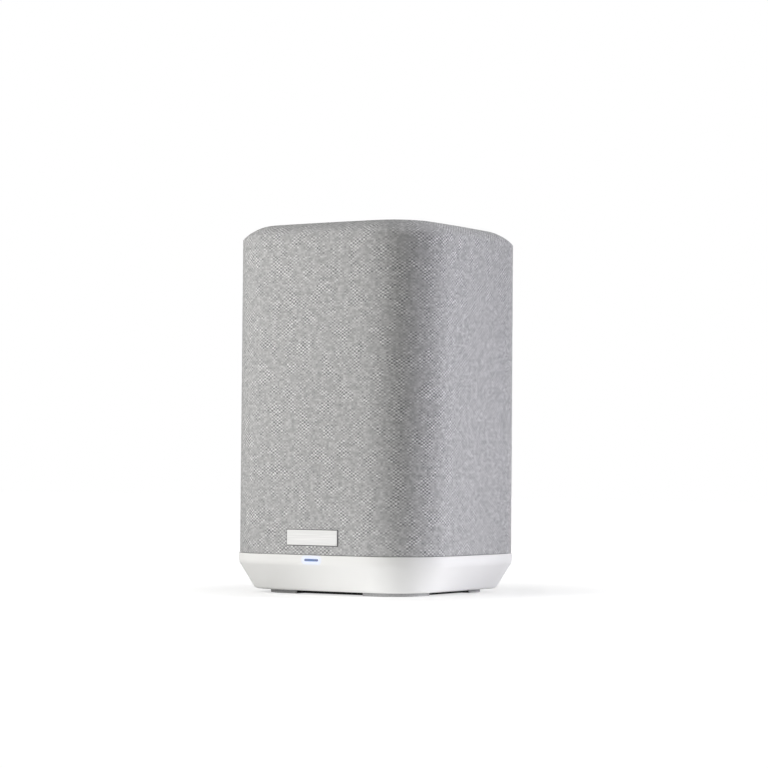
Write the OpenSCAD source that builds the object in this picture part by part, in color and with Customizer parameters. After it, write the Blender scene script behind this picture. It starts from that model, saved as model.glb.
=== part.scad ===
// Table-top wireless speaker: a fabric-covered column on a tapered base, with a sealed driver
// box inside, a connector recess at the back and a touch panel on top.
// Frame: origin at the centre of the underside, front towards -Y, right towards +X, up +Z.
// All sizes in millimetres.

/* [Overall size] */
// Width and depth over the fabric
body_w = 120; // [114:1:130]
// Height over the feet
body_h = 187; // [184:1:200]
// Radius of the upright corners in plan
corner_r = 34; // [31:1:38]
// Radius of the rolled top edge
top_edge_r = 12; // [10:0.5:13]

/* [Fabric and inner sleeve] */
// Thickness of the knitted cover
fabric_t = 0.8; // [0.5:0.1:1.2]
// Space between the cover and the sleeve it is stretched over
skin_gap = 0.1; // [0.05:0.05:0.3]
// Wall of the perforated inner sleeve
frame_wall = 2; // [1.6:0.1:2.6]
// How far in from the side the cover is turned over at the top
top_lip_inset = 15; // [14.5:0.1:16]
// Diameter of the sound holes
sound_hole_d = 6.6; // [5:0.2:7.6]
// Spacing of the sound holes
sound_hole_pitch = 9.6; // [9:0.1:11]

/* [Base] */
// Height of the joint between cover and base
seam_z = 19.8; // [18.5:0.1:21]
// Length of the upright lip of the base below the joint, up to the start of the curve
base_lip_h = 2.7; // [2:0.1:3.5]
// Radius of the curve between the lip and the taper
base_curve_r = 8; // [6:0.5:10]
// Slope of the base away from upright, in degrees
base_taper = 31.7; // [30:0.1:38]
// Wall of the base shell
base_wall = 2.4; // [2:0.1:2.8]
// Height of the inner collar above the joint
collar_h = 3.6; // [3:0.1:4]
// Thickness of the inner collar
collar_t = 2.2; // [1.8:0.1:2.6]
// Radial play between the collar and the sleeve
collar_gap = 0.1; // [0.05:0.05:0.3]
// Thickness of the inward ledge
ledge_t = 2.4; // [2:0.1:3]
// How far the ledge reaches in from the outline
ledge_inset = 28; // [27:0.5:30]
// Radius of the upright posts carrying the driver box
post_r = 4; // [3.6:0.1:4.4]
// Thickness of the underside plate
bottom_plate_t = 2; // [1.8:0.1:2.4]
// Play round the underside plate
plate_gap = 0.1; // [0.05:0.05:0.3]

/* [Feet] */
// Height of the corner feet
foot_h = 2; // [1.6:0.1:2.6]
// How far the feet sit in from the outline
foot_inset = 15.8; // [15:0.1:17]
// Radial width of the feet
foot_w = 10; // [8:0.5:11]
// Width of the gap between two feet
foot_gap_w = 40; // [36:1:46]
// Thickness of the web joining the feet
foot_web_t = 1.6; // [1.2:0.1:1.8]
// How far the web is set back behind the feet
foot_web_setback = 0.8; // [0.6:0.1:4]

/* [Front plate and light] */
// Width of the blank front plate
badge_w = 30; // [24:0.5:34]
// Height of the blank front plate
badge_h = 7.6; // [6:0.1:9]
// Height of its centre
badge_z = 28.9; // [27.5:0.1:32]
// How far the front plate and the rear trim stand out of the cover
badge_proud = 0.4; // [0.2:0.1:0.8]
// Width of the status light
light_w = 8.4; // [6:0.1:12]
// Height of the status light
light_h = 1.3; // [1:0.1:1.6]
// Distance of the status light below the joint
light_drop = 2.2; // [2:0.1:2.6]

/* [Top panel] */
// Width of the trim ring seen from above
trim_w = 1.8; // [1.4:0.1:2.4]
// Play round the trim ring and the panel
trim_gap = 0.15; // [0.1:0.05:0.3]
// Thickness of the clamping flange of the trim ring
trim_flange_t = 2; // [1.6:0.1:2.4]
// Width of the shelf the panel lies on
panel_shelf_w = 3; // [2.4:0.1:3.6]
// Thickness of the touch panel
panel_t = 2.5; // [2.2:0.1:2.6]
// Depth of the shallow dish in the panel
dish_depth = 0.9; // [0.4:0.1:1.2]
// Height of the printed signs
sign_h = 5; // [4:0.1:6]
// Thickness of the light guide plate
guide_t = 1.1; // [0.9:0.1:1.4]
// Thickness of the circuit boards
board_t = 1.6; // [1.2:0.1:2]
// Thickness of the carrier plate
carrier_t = 2.4; // [2:0.1:3]

/* [Driver box] */
// Space between the driver box and the cover at each side
cabinet_side_gap = 12; // [11:0.5:14]
// Set-back of its front face behind the cover
baffle_setback = 14; // [13:0.5:16]
// Space between the driver box and the cover at the back, for the boards and sockets
service_depth = 30; // [28:0.5:32]
// Height of its underside
cabinet_z = 30; // [29:0.5:32]
// Space above the driver box up to the carrier plate
cabinet_top_gap = 2; // [1.5:0.1:3]
// Wall of the driver box
cabinet_wall = 3; // [2.6:0.1:3.4]
// Thickness of the front board of the driver box
baffle_t = 6; // [5:0.5:7]
// Thickness of the seal behind it
seal_t = 0.8; // [0.6:0.1:1.2]
// Radius of the upright edges of the driver box
cabinet_edge_r = 8; // [7:0.5:10]
// Thickness of the damping felt
felt_t = 6; // [4:0.5:8]

/* [Woofer] */
// Width of the box front left at each side of the woofer flange
woofer_side = 3.5; // [3.5:0.1:5]
// Height of the box front left under the woofer flange
woofer_floor = 5.5; // [3.5:0.5:6]
// Space between the woofer flange and the tweeter face
driver_gap = 2; // [2:0.5:4]
// Thickness of the woofer flange
woofer_flange_t = 2.5; // [2:0.1:3]
// Width of the flange and the roll outside the cone
cone_rim = 11.5; // [10.5:0.5:12.5]
// Radius of the rubber roll
roll_r = 2.9; // [2.4:0.1:3]
// Inner radius of the voice coil former
coil_r = 12.3; // [12:0.1:13]
// Wall of the former
former_t = 0.3; // [0.2:0.05:0.4]
// Thickness of the winding
winding_t = 0.4; // [0.3:0.05:0.5]
// Running clearance of the coil in the magnet gap
coil_gap = 0.5; // [0.4:0.05:0.6]
// Radius of the woofer magnet
magnet_r = 26; // [24:0.5:27]
// Thickness of the woofer magnet
magnet_t = 10; // [8:0.5:12]
// Travel of the cone each way
woofer_travel = 3.5; // [2:0.1:3.5]

/* [Tweeter] */
// Distance of the tweeter axis below the top of the driver box
tweeter_drop = 24; // [23.5:0.5:24.5]
// Radius of the tweeter face
tweeter_r = 21.5; // [20.5:0.1:21.6]
// Width of the tweeter face outside the dome
dome_rim = 9.2; // [9:0.1:9.6]
// Height of the dome
dome_h = 5; // [3.5:0.1:6]
// Running clearance of the tweeter coil
tweeter_gap = 0.5; // [0.4:0.05:0.6]

/* [Bass port] */
// Inner radius of the port tube
port_r = 9.5; // [8:0.5:10.5]
// Wall of the port tube
port_wall = 2; // [1.6:0.1:2.4]
// Distance of the port axis below the top of the driver box
port_drop = 24; // [22:0.5:28]
// Radius of the flare at the mouth
flare_r = 6; // [4:0.5:7]

/* [Wall-mount thread] */
// Radius of the tapped hole wall
thread_r = 2.55; // [2.5:0.05:3.1]
// Depth of the tapped hole
thread_depth = 12; // [10:0.5:14]
// How far the tapped hole sits below the middle between the recess and the port
mount_shift = 0.25; // [0:0.25:4]
// Outer radius of the metal insert
insert_r = 4.5; // [4.2:0.1:5]

/* [Connector recess] */
// Inner width of the recess
recess_w = 54; // [54:0.5:56]
// Inner height of the recess
recess_h = 40.4; // [40:0.2:43]
// Depth of the recess behind the cover
recess_depth = 10; // [8:0.5:11]
// Wall of the recess tray
recess_wall = 1.8; // [1.5:0.1:2.2]
// Height of its lower row of sockets above the recess floor
lower_row = 10.2; // [10:0.1:11]
// Height of its upper row above the lower row
upper_row = 20.5; // [20:0.1:22]

/* [Buttons] */
// Radius of the push buttons
button_r = 3.5; // [3:0.1:3.8]
// Play round the push buttons
button_gap = 0.35; // [0.3:0.05:0.5]
// Travel of the push buttons
button_travel = 0.5; // [0.3:0.1:0.8]
// How far they stand out of the recess wall
button_proud = 0.8; // [0.6:0.1:1.2]
// Travel of the reset plunger
reset_travel = 0.25; // [0.2:0.05:0.4]
// Radius of the 3.5 mm socket bore
aux_r = 1.8; // [1.78:0.01:1.9]

/* [Screws] */
// Radius of the screw shanks
screw_r = 1.5; // [1.3:0.05:1.5]
// Radial play between a shank and its thread
thread_gap = 0.03; // [0.02:0.01:0.05]
// Radial play of a shank in a clearance hole
screw_gap = 0.2; // [0.15:0.05:0.3]
// Radius of the screw heads
head_r = 2.7; // [2.5:0.1:2.8]

/* [Hidden] */
$fn = 64;
eps = 1;

white = [0.90, 0.90, 0.89];
light_grey = [0.70, 0.70, 0.71];
mid_grey = [0.50, 0.50, 0.50];
dark = [0.14, 0.14, 0.15];
steel = [0.62, 0.63, 0.65];
copper = [0.72, 0.45, 0.25];
brass = [0.78, 0.64, 0.35];
board_green = [0.10, 0.32, 0.20];

half = body_w / 2;
corner_c = half - corner_r;
frame_out = fabric_t + skin_gap;
frame_in = frame_out + frame_wall;
roll_z = body_h - top_edge_r;
plate_top_z = foot_h + bottom_plate_t;
ledge_top_z = plate_top_z + ledge_t;
collar_out = frame_in + collar_gap;
collar_in = collar_out + collar_t;
collar_top_z = seam_z + collar_h;
lip_z = seam_z - base_lip_h;
curve_end_x = base_curve_r * (1 - cos(base_taper));
curve_end_z = lip_z - base_curve_r * sin(base_taper);
taper_run = (curve_end_z - foot_h) * tan(base_taper);
base_foot_x = curve_end_x + taper_run;
wall_run = base_wall / cos(base_taper);
ledge_x = curve_end_x + (curve_end_z - ledge_top_z) * tan(base_taper) + wall_run;
light_z = seam_z - light_drop;

baffle_y = -half + baffle_setback;
cabinet_w = body_w - 2 * cabinet_side_gap;
cabinet_depth = body_w - baffle_setback - service_depth;
cabinet_back_y = baffle_y + cabinet_depth;
cabinet_mid_y = baffle_y + cabinet_depth / 2;
split_y = baffle_y + baffle_t;
body_front_y = split_y + seal_t;
frame_top_z = body_h - frame_in;
trim_flange_z = frame_top_z - trim_flange_t;
trim_out = top_lip_inset + trim_gap;
trim_in = trim_out + trim_w;
shelf_in = trim_in + panel_shelf_w;
guide_out = shelf_in + 2 * trim_gap;
panel_top_z = frame_top_z + panel_t;
board_top_z = frame_top_z - guide_t;
board_low_z = board_top_z - board_t;
carrier_z = body_h - 13;
carrier_top_z = carrier_z + carrier_t;
cabinet_top_z = carrier_z - cabinet_top_gap;
cabinet_mid_z = (cabinet_z + cabinet_top_z) / 2;
cabinet_tall = cabinet_top_z - cabinet_z;

tweeter_z = cabinet_top_z - tweeter_drop;
port_z = cabinet_top_z - port_drop;
recess_z0 = seam_z + 6.5;
recess_z1 = recess_z0 + recess_h;
tray_z0 = recess_z0 - recess_wall;
tray_z1 = recess_z1 + recess_wall;
mount_z = (tray_z1 + port_z) / 2 - mount_shift;
driver_room = tweeter_z - tweeter_r - driver_gap - woofer_floor - cabinet_z;
woofer_r = min(cabinet_w / 2 - woofer_side, driver_room / 2);
woofer_z = cabinet_z + woofer_floor + woofer_r;
cone_r = woofer_r - cone_rim;

cabinet_screw_x = cabinet_w / 2 - 6;
cabinet_screw_z = [cabinet_z + 6, woofer_z + woofer_r + 3.5, cabinet_top_z - 6];
post_x = cabinet_w / 2 - 10;
post_y = [baffle_y + 14, cabinet_back_y - 10];
clear_r = screw_r + screw_gap;
pilot_r = screw_r + thread_gap;
head_h = 1.8;
box_screw_len = 14;
driver_screw_len = 7.4;
low_head_h = 1.1;
boss_r = 4;

basket_inner_r = woofer_r - 5.5;
spider_z = -14.5;
spider_ledge_r = min(27, woofer_r - 8);
outer_spider_r = spider_ledge_r + 2;
basket_end_z = -24;
top_plate_t = 4;
top_plate_z = basket_end_z - top_plate_t;
magnet_z = top_plate_z - magnet_t;
yoke_t = 4;
winding_r = coil_r + former_t + winding_t;
plate_bore_r = winding_r + coil_gap;
pole_r = coil_r - coil_gap;
cone_t = 0.8;
cone_z0 = -12;
neck_r = coil_r + former_t;
ear_x = (woofer_r + 3.5833) * sqrt(0.5);
ear_r = 4.6;

dome_r = tweeter_r - dome_rim;
t_coil_t = 0.5;
t_roll_r = 0.8;
t_surround_t = 0.3;
t_gap_in = dome_r - tweeter_gap;
t_gap_out = dome_r + t_coil_t + tweeter_gap;
t_yoke_r = t_gap_out + 3.2;
t_seat_r = t_gap_out + 0.9;
t_screw_r = tweeter_r - 3.1;

main_y = cabinet_back_y + 4;
main_back_y = main_y + board_t;
main_x = cabinet_w / 2 - 6;
main_z0 = recess_z0 - 0.3;
main_z1 = mount_z - 18;
recess_wall_y = half - recess_depth;
recess_in_y = recess_wall_y - 2;
tray_w = recess_w + 2 * recess_wall;
tray_gap = 0.2;
low_z = recess_z0 + lower_row;
high_z = low_z + upper_row;
inlet_x = -13;
network_x = 13;
connect_x = -20;
pairing_x = -8;
aux_x = 3;
media_x = 17;
reset_x = -14;
reset_z = high_z - 9.5;
switch_t = 3.5;
reset_switch_t = 8;
post_out = main_x - 4;
main_post = [[-post_out, main_z0 + 34], [post_out, main_z0 + 34], [-post_out, main_z1 - 4],
             [post_out, main_z0 + 7]];
jack_len = recess_wall_y - main_back_y;

power_z = ledge_top_z + 2.6;
power_w = body_w - 56;
power_d = body_w - 48;
filter_t = 8;
power_at = half - 33;
power_post = [[-power_at, -power_at], [power_at, -power_at], [-power_at, power_at],
              [power_at, power_at]];
touch_x = half - 30;
touch_y = half - 34;
touch_post = [[-touch_x, -touch_y], [touch_x, -touch_y], [-touch_x, touch_y], [touch_x, touch_y]];
screw_out = cabinet_w / 2 - 12;
screw_rows = [baffle_y + 12, cabinet_back_y - 10];
lead_z = mount_z - 12;
carrier_screw = [[-screw_out, screw_rows[0]], [screw_out, screw_rows[0]],
                 [-screw_out, screw_rows[1]], [screw_out, screw_rows[1]]];

// ---- shared shapes -------------------------------------------------------------------------

// Outline of the column in plan, moved in by a distance.
module plan(inset) {
  wide = 2 * (half - inset);
  square([wide, 2 * corner_c], center = true);
  square([2 * corner_c, wide], center = true);
  for (sx = [-1, 1], sy = [-1, 1])
    translate([sx * corner_c, sy * corner_c])
      circle(r = corner_r - inset);
}

module plan_ring(outer, inner) {
  difference() {
    plan(outer);
    plan(inner);
  }
}

module plan_plate(inset, z0, z1) {
  translate([0, 0, z0])
    linear_extrude(z1 - z0)
      plan(inset);
}

module plan_wall(outer, inner, z0, z1) {
  translate([0, 0, z0])
    linear_extrude(z1 - z0)
      plan_ring(outer, inner);
}

// Carries a wall section (x = out from the outline, y = height) once round the column.
module around_plan() {
  for (q = [0:3])
    rotate(90 * q) {
      translate([half, corner_c, 0])
        rotate([90, 0, 0])
          linear_extrude(2 * corner_c)
            children();
      translate([corner_c, corner_c, 0])
        rotate_extrude(angle = 90)
          translate([corner_r, 0])
            children();
    }
}

// Upright wall that rolls over at the top and ends in a flat lip.
module rolled_section(outer, inner, z0, lip) {
  translate([-inner, z0])
    square([inner - outer, roll_z - z0]);
  intersection() {
    translate([-top_edge_r, roll_z])
      difference() {
        circle(r = top_edge_r - outer);
        circle(r = top_edge_r - inner);
      }
    translate([-top_edge_r, roll_z])
      square(top_edge_r);
  }
  translate([-lip, body_h - inner])
    square([lip - top_edge_r, inner - outer]);
}

module rounded_rect(w, h, r) {
  square([w - 2 * r, h], center = true);
  square([w, h - 2 * r], center = true);
  for (sx = [-1, 1], sy = [-1, 1])
    translate([sx * (w / 2 - r), sy * (h / 2 - r)])
      circle(r = r);
}

module slot_2d(w, h) {
  square([w - h, h], center = true);
  for (s = [-1, 1])
    translate([s * (w - h) / 2, 0])
      circle(r = h / 2);
}

// Raises a drawing in x and z from y0 back to y1.
module slab_y(y0, y1) {
  translate([0, y1, 0])
    rotate([90, 0, 0])
      linear_extrude(y1 - y0)
        children();
}

module rod_y(x, z, y0, y1, r) {
  translate([x, y1, z])
    rotate([90, 0, 0])
      cylinder(h = y1 - y0, r = r);
}

module rod_z(x, y, z0, z1, r) {
  translate([x, y, z0])
    cylinder(h = z1 - z0, r = r);
}

module box(x0, x1, y0, y1, z0, z1) {
  translate([x0, y0, z0])
    cube([x1 - x0, y1 - y0, z1 - z0]);
}

module ring_part(r_in, r_out, z0, z1) {
  translate([0, 0, z0])
    linear_extrude(z1 - z0)
      difference() {
        circle(r = r_out);
        circle(r = r_in);
      }
}

// Stands a driver on the front board: its own z points forward, zero at the board's face.
module at_baffle(z) {
  translate([0, baffle_y, z])
    rotate([90, 0, 0])
      children();
}

module wire(points, r) {
  for (i = [0:len(points) - 1])
    translate(points[i])
      sphere(r = r * 1.1);
  for (i = [0:len(points) - 2]) {
    run = points[i + 1] - points[i];
    translate(points[i])
      rotate([0, acos(run[2] / norm(run)), atan2(run[1], run[0])])
        cylinder(h = norm(run), r = r);
  }
}

// ---- outer skin ----------------------------------------------------------------------------

module tray_opening(gap, y0, y1) {
  w = tray_w / 2 + gap;
  box(-w, w, y0, y1, tray_z0 - gap, tray_z1 + gap);
}

module fabric_sleeve() {
  color(light_grey)
    difference() {
      around_plan()
        rolled_section(0, fabric_t, seam_z, top_lip_inset);
      tray_opening(tray_gap, half - 4, half + eps);
      rod_y(0, mount_z, half - 4, half + eps, insert_r + 2.3);
      slab_y(-half - eps, -half + 4)
        translate([0, badge_z])
          rounded_rect(badge_w + 0.2, badge_h + 0.2, 0.7);
    }
}

module sound_holes_2d() {
  for (i = [-3:3], j = [0:11])
    translate([i * sound_hole_pitch, seam_z + 22 + j * sound_hole_pitch])
      circle(d = sound_hole_d);
}

module port_holes_2d() {
  for (i = [-1:1], j = [-1:1])
    translate([i * sound_hole_pitch, port_z + j * sound_hole_pitch])
      circle(d = sound_hole_d);
}

module sleeve_solid() {
  around_plan()
    rolled_section(frame_out, frame_in, seam_z, top_lip_inset);
}

module grille_frame() {
  color(mid_grey)
    difference() {
      sleeve_solid();
      box(-half, half, 0, half, 0, body_h);
      slab_y(-half - eps, -half + 6)
        sound_holes_2d();
      for (s = [-1, 1])
        rod_y(s * badge_w * 0.35, badge_z, -half - eps, -half + 6, 1.1);
    }
}

module rear_frame() {
  color(mid_grey)
    difference() {
      sleeve_solid();
      box(-half, half, -half, 0, 0, body_h);
      slab_y(half - 6, half + eps)
        port_holes_2d();
      tray_opening(tray_gap, half - 6, half + eps);
      rod_y(0, mount_z, half - 6, half + eps, insert_r + 2.3);
    }
}

// ---- base ----------------------------------------------------------------------------------

module base_section() {
  curve = [for (i = [0:5])
    [-base_curve_r * (1 - cos(base_taper * i / 5)), lip_z - base_curve_r * sin(base_taper * i / 5)]];
  polygon(concat(
    [[-collar_out, seam_z], [0, seam_z]],
    curve,
    [[-base_foot_x, foot_h],
     [-foot_inset + plate_gap, foot_h],
     [-foot_inset + plate_gap, plate_top_z],
     [-ledge_inset, plate_top_z],
     [-ledge_inset, ledge_top_z],
     [-ledge_x, ledge_top_z],
     [-collar_in, curve_end_z + 1.4],
     [-collar_in, collar_top_z],
     [-collar_out, collar_top_z]]
  ));
}

module base_shell() {
  rib_x = light_w / 2 + 2.4;
  color(white)
    difference() {
      union() {
        around_plan()
          base_section();
        for (sx = [-1, 1], y = post_y)
          rod_z(sx * post_x, y, ledge_top_z, cabinet_z, post_r);
        for (s = [-1, 1])
          box(s * rib_x - 0.7, s * rib_x + 0.7, -half + collar_in - 0.4, -half + collar_in + 1.6,
              light_z - 2.6, light_z + 3);
      }
      slab_y(-half - eps, -half + collar_in + eps)
        translate([0, light_z])
          slot_2d(light_w, light_h);
      for (sx = [-1, 1], y = post_y)
        rod_z(sx * post_x, y, plate_top_z - eps, cabinet_z + eps, clear_r);
    }
}

module bottom_plate() {
  color(dark)
    difference() {
      union() {
        plan_plate(foot_inset, foot_h, plate_top_z);
        for (p = power_post)
          rod_z(p[0], p[1], plate_top_z, power_z, 3);
      }
      for (sx = [-1, 1], y = post_y) {
        rod_z(sx * post_x, y, foot_h - eps, plate_top_z + eps, clear_r);
        rod_z(sx * post_x, y, foot_h - eps, foot_h + low_head_h + 0.1, head_r + 0.3);
      }
      for (p = power_post)
        rod_z(p[0], p[1], foot_h + 1, power_z + eps, pilot_r);
    }
}

module foot_ring() {
  gap = foot_gap_w / 2;
  color(mid_grey)
    union() {
      linear_extrude(foot_h)
        intersection() {
          plan_ring(foot_inset, foot_inset + foot_w);
          for (sx = [-1, 1], sy = [-1, 1])
            translate([sx * (gap + half / 2), sy * (gap + half / 2)])
              square(half, center = true);
        }
      plan_wall(foot_inset + foot_web_setback, foot_inset + foot_w, foot_h - foot_web_t, foot_h);
    }
}

module badge() {
  color(steel)
    union() {
      slab_y(-half - badge_proud, -half + frame_out)
        translate([0, badge_z])
          rounded_rect(badge_w, badge_h, 0.6);
      for (s = [-1, 1])
        rod_y(s * badge_w * 0.35, badge_z, -half + frame_out - 0.2, -half + frame_in, 1);
    }
}

module status_light_pipe() {
  color([0.25, 0.55, 0.95])
    slab_y(-half, -half + collar_in + 0.8)
      translate([0, light_z])
        slot_2d(light_w - 0.1, light_h - 0.1);
}

module status_led_board() {
  w = light_w / 2 + 3.4;
  color(board_green)
    union() {
      box(-w, w, -half + collar_in + 1.6, -half + collar_in + 2.6, light_z - 3, light_z + 3.4);
      box(-1.6, 1.6, -half + collar_in + 0.8, -half + collar_in + 1.6, light_z - 0.7, light_z + 0.7);
    }
}

// ---- top -----------------------------------------------------------------------------------

module top_trim_ring() {
  color(white)
    union() {
      plan_wall(top_edge_r + 0.2, shelf_in, trim_flange_z, frame_top_z);
      plan_wall(trim_out, trim_in, trim_flange_z, body_h);
    }
}

module sign_plus() {
  square([sign_h, 0.9], center = true);
  square([0.9, sign_h], center = true);
}

module sign_minus() {
  square([sign_h, 0.9], center = true);
}

module sign_play() {
  polygon([[-sign_h * 0.6, -sign_h / 2], [0, 0], [-sign_h * 0.6, sign_h / 2]]);
  for (x = [0.9, 2.5])
    translate([x, -sign_h / 2])
      square([0.9, sign_h]);
}

module sign_one() {
  square([0.9, sign_h], center = true);
  polygon([[-0.45, sign_h / 2], [-1.5, sign_h / 2 - 1.1], [-0.45, sign_h / 2 - 1.3]]);
}

module sign_arc(r) {
  difference() {
    circle(r = r);
    circle(r = r - 0.8);
    translate([-r - 0.1, -r])
      square([r - 0.2, 2 * r]);
  }
}

module sign_two() {
  r = sign_h * 0.3;
  translate([0, sign_h / 2 - r])
    difference() {
      circle(r = r);
      circle(r = r - 0.8);
      translate([-r - 0.1, -r - 0.1])
        square([r + 0.1, r + 0.1]);
    }
  polygon([[-r, -sign_h / 2], [-r + 1.1, -sign_h / 2], [r, sign_h / 2 - r], [r - 0.8, sign_h / 2 - r]]);
  translate([-r, -sign_h / 2])
    square([2 * r, 0.8]);
}

module sign_three() {
  r = (sign_h + 0.8) / 4;
  for (s = [-1, 1])
    translate([0, s * (sign_h / 2 - r)])
      sign_arc(r);
}

module signs_2d() {
  translate([-half / 3, -9])
    sign_minus();
  translate([0, -9])
    sign_play();
  translate([half / 3, -9])
    sign_plus();
  translate([-half / 3.75, 13])
    sign_one();
  translate([0, 13])
    sign_two();
  translate([half / 3.75, 13])
    sign_three();
}

module dish_cut() {
  translate([0, 0, panel_top_z - dish_depth])
    cylinder(h = dish_depth * 2, r1 = half - trim_in - 12, r2 = half - trim_in + 4);
}

module top_panel() {
  color(white)
    difference() {
      plan_plate(trim_in + trim_gap, frame_top_z, panel_top_z);
      dish_cut();
      translate([0, 0, frame_top_z - eps])
        linear_extrude(panel_t + 2 * eps)
          signs_2d();
      for (s = [-1, 1])
        rod_z(s * 9, half - 33, frame_top_z - eps, panel_top_z + eps, 0.7);
    }
}

module legend_light_guide() {
  color([0.80, 0.85, 0.90])
    difference() {
      union() {
        plan_plate(guide_out, board_top_z, frame_top_z);
        translate([0, 0, frame_top_z - 0.1])
          linear_extrude(panel_t - dish_depth + 0.1)
            signs_2d();
      }
      for (s = [-1, 1])
        rod_z(s * 9, half - 33, board_top_z - eps, frame_top_z + eps, 1.2);
    }
}

module touch_board() {
  color(board_green)
    union() {
      plan_plate(guide_out + 2, board_low_z, board_top_z);
      box(-8, 8, 4, 16, board_low_z - 1.4, board_low_z);
      box(14, 24, -16, -8, board_low_z - 1.2, board_low_z);
    }
}

module top_carrier() {
  color(dark)
    difference() {
      union() {
        plan_plate(8, carrier_z, carrier_top_z);
        plan_wall(trim_out, trim_in, carrier_z, trim_flange_z);
        for (p = touch_post)
          rod_z(p[0], p[1], carrier_z, board_low_z, 2.5);
        for (p = carrier_screw)
          rod_z(p[0], p[1], cabinet_top_z, carrier_top_z, 5);
      }
      for (p = carrier_screw)
        rod_z(p[0], p[1], cabinet_top_z - eps, carrier_top_z + eps, clear_r);
      box(-33, -21, main_y - 3, main_y + 1.4, carrier_z - eps, carrier_top_z + eps);
    }
}

// ---- driver box ----------------------------------------------------------------------------

module cabinet_block(inset, z0, z1) {
  translate([0, cabinet_mid_y, z0])
    linear_extrude(z1 - z0)
      rounded_rect(cabinet_w - 2 * inset, cabinet_depth - 2 * inset, cabinet_edge_r - inset);
}

module cabinet_body() {
  color(dark)
    difference() {
      union() {
        difference() {
          cabinet_block(0, cabinet_z, cabinet_top_z);
          cabinet_block(cabinet_wall, cabinet_z + cabinet_wall, cabinet_top_z - cabinet_wall);
          box(-half, half, -half, body_front_y, 0, body_h);
        }
        for (sx = [-1, 1], z = cabinet_screw_z)
          rod_y(sx * cabinet_screw_x, z, body_front_y, body_front_y + 16, boss_r);
        for (sx = [-1, 1], y = post_y)
          rod_z(sx * post_x, y, cabinet_z + 1, cabinet_z + 9, boss_r);
        for (p = carrier_screw)
          rod_z(p[0], p[1], cabinet_top_z - 13, cabinet_top_z - 1, boss_r);
        rod_y(0, mount_z, cabinet_back_y - 1, half - frame_in - 0.3, insert_r + 3.5);
        for (p = main_post)
          rod_y(p[0], p[1], cabinet_back_y - 1, main_y, 3);
      }
      for (sx = [-1, 1], z = cabinet_screw_z)
        rod_y(sx * cabinet_screw_x, z, body_front_y - eps, body_front_y + 12, pilot_r);
      for (sx = [-1, 1], y = post_y)
        rod_z(sx * post_x, y, cabinet_z - eps, cabinet_z + 7, pilot_r);
      for (p = carrier_screw)
        rod_z(p[0], p[1], cabinet_top_z - 12, cabinet_top_z + eps, pilot_r);
      rod_y(0, mount_z, half - thread_depth - 3, half, insert_r);
      rod_y(0, port_z, cabinet_back_y - cabinet_wall - eps, cabinet_back_y + eps,
            port_r + port_wall);
      for (p = main_post)
        rod_y(p[0], p[1], cabinet_back_y - 0.5, main_y + eps, pilot_r);
      rod_y(-14, lead_z, cabinet_back_y - 6, cabinet_back_y + eps, 1.9);
    }
}

module cabinet_front() {
  color(dark)
    difference() {
      intersection() {
        cabinet_block(0, cabinet_z, cabinet_top_z);
        box(-half, half, baffle_y, split_y, 0, body_h);
      }
      rod_y(0, woofer_z, baffle_y - eps, split_y + eps, woofer_r - 3.3);
      rod_y(0, tweeter_z, baffle_y - eps, split_y + eps, t_yoke_r + 0.3);
      for (sx = [-1, 1], z = cabinet_screw_z) {
        rod_y(sx * cabinet_screw_x, z, baffle_y - eps, split_y + eps, clear_r);
        rod_y(sx * cabinet_screw_x, z, baffle_y - eps, baffle_y + head_h, head_r + 0.3);
      }
      for (sx = [-1, 1], sz = [-1, 1])
        rod_y(sx * ear_x, woofer_z + sz * ear_x, baffle_y - eps, split_y + eps, pilot_r);
      for (a = [45:90:315])
        rod_y(t_screw_r * cos(a), tweeter_z + t_screw_r * sin(a), baffle_y - eps, split_y - 0.6,
              pilot_r);
    }
}

module cabinet_gasket() {
  color(dark)
    slab_y(split_y, body_front_y)
      difference() {
        union() {
          translate([0, cabinet_mid_z])
            difference() {
              rounded_rect(cabinet_w - 1.6, cabinet_tall - 1.6, 3);
              rounded_rect(cabinet_w - 6, cabinet_tall - 6, 2);
            }
          for (sx = [-1, 1], z = cabinet_screw_z)
            translate([sx * cabinet_screw_x, z])
              circle(r = boss_r);
        }
        for (sx = [-1, 1], z = cabinet_screw_z)
          translate([sx * cabinet_screw_x, z])
            circle(r = clear_r);
      }
}

module cabinet_screws() {
  color(steel) {
    for (sx = [-1, 1], z = cabinet_screw_z) {
      rod_y(sx * cabinet_screw_x, z, baffle_y + 0.1, baffle_y + head_h, head_r);
      rod_y(sx * cabinet_screw_x, z, baffle_y + head_h, baffle_y + head_h + box_screw_len, screw_r);
    }
    for (p = carrier_screw) {
      rod_z(p[0], p[1], carrier_top_z, carrier_top_z + head_h - 0.1, head_r);
      rod_z(p[0], p[1], carrier_top_z - box_screw_len, carrier_top_z, screw_r);
    }
  }
}

module damping_pad() {
  color(light_grey)
    box(-screw_out, screw_out, cabinet_back_y - cabinet_wall - felt_t, cabinet_back_y - cabinet_wall,
        cabinet_z + 12, mount_z - 22);
}

module bass_port() {
  inner_end = cabinet_back_y - 42;
  mouth = half - frame_in - 3;
  long = mouth - inner_end;
  color(dark)
    translate([0, inner_end, port_z])
      rotate([-90, 0, 0])
        rotate_extrude() {
          translate([port_r, 0])
            square([port_wall, long]);
          translate([port_r, cabinet_back_y - inner_end])
            square([port_wall + 2.5, 2]);
          intersection() {
            translate([port_r + flare_r, long - flare_r])
              circle(r = flare_r);
            translate([port_r, long - flare_r])
              square([flare_r, flare_r]);
          }
          translate([port_r + flare_r - 0.5, long - 2])
            square([3, 2]);
        }
}

module mount_insert() {
  color(brass)
    difference() {
      rod_y(0, mount_z, half - thread_depth - 3, half - 0.6, insert_r);
      rod_y(0, mount_z, half - 0.6 - thread_depth, half + eps, thread_r);
    }
}

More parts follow.
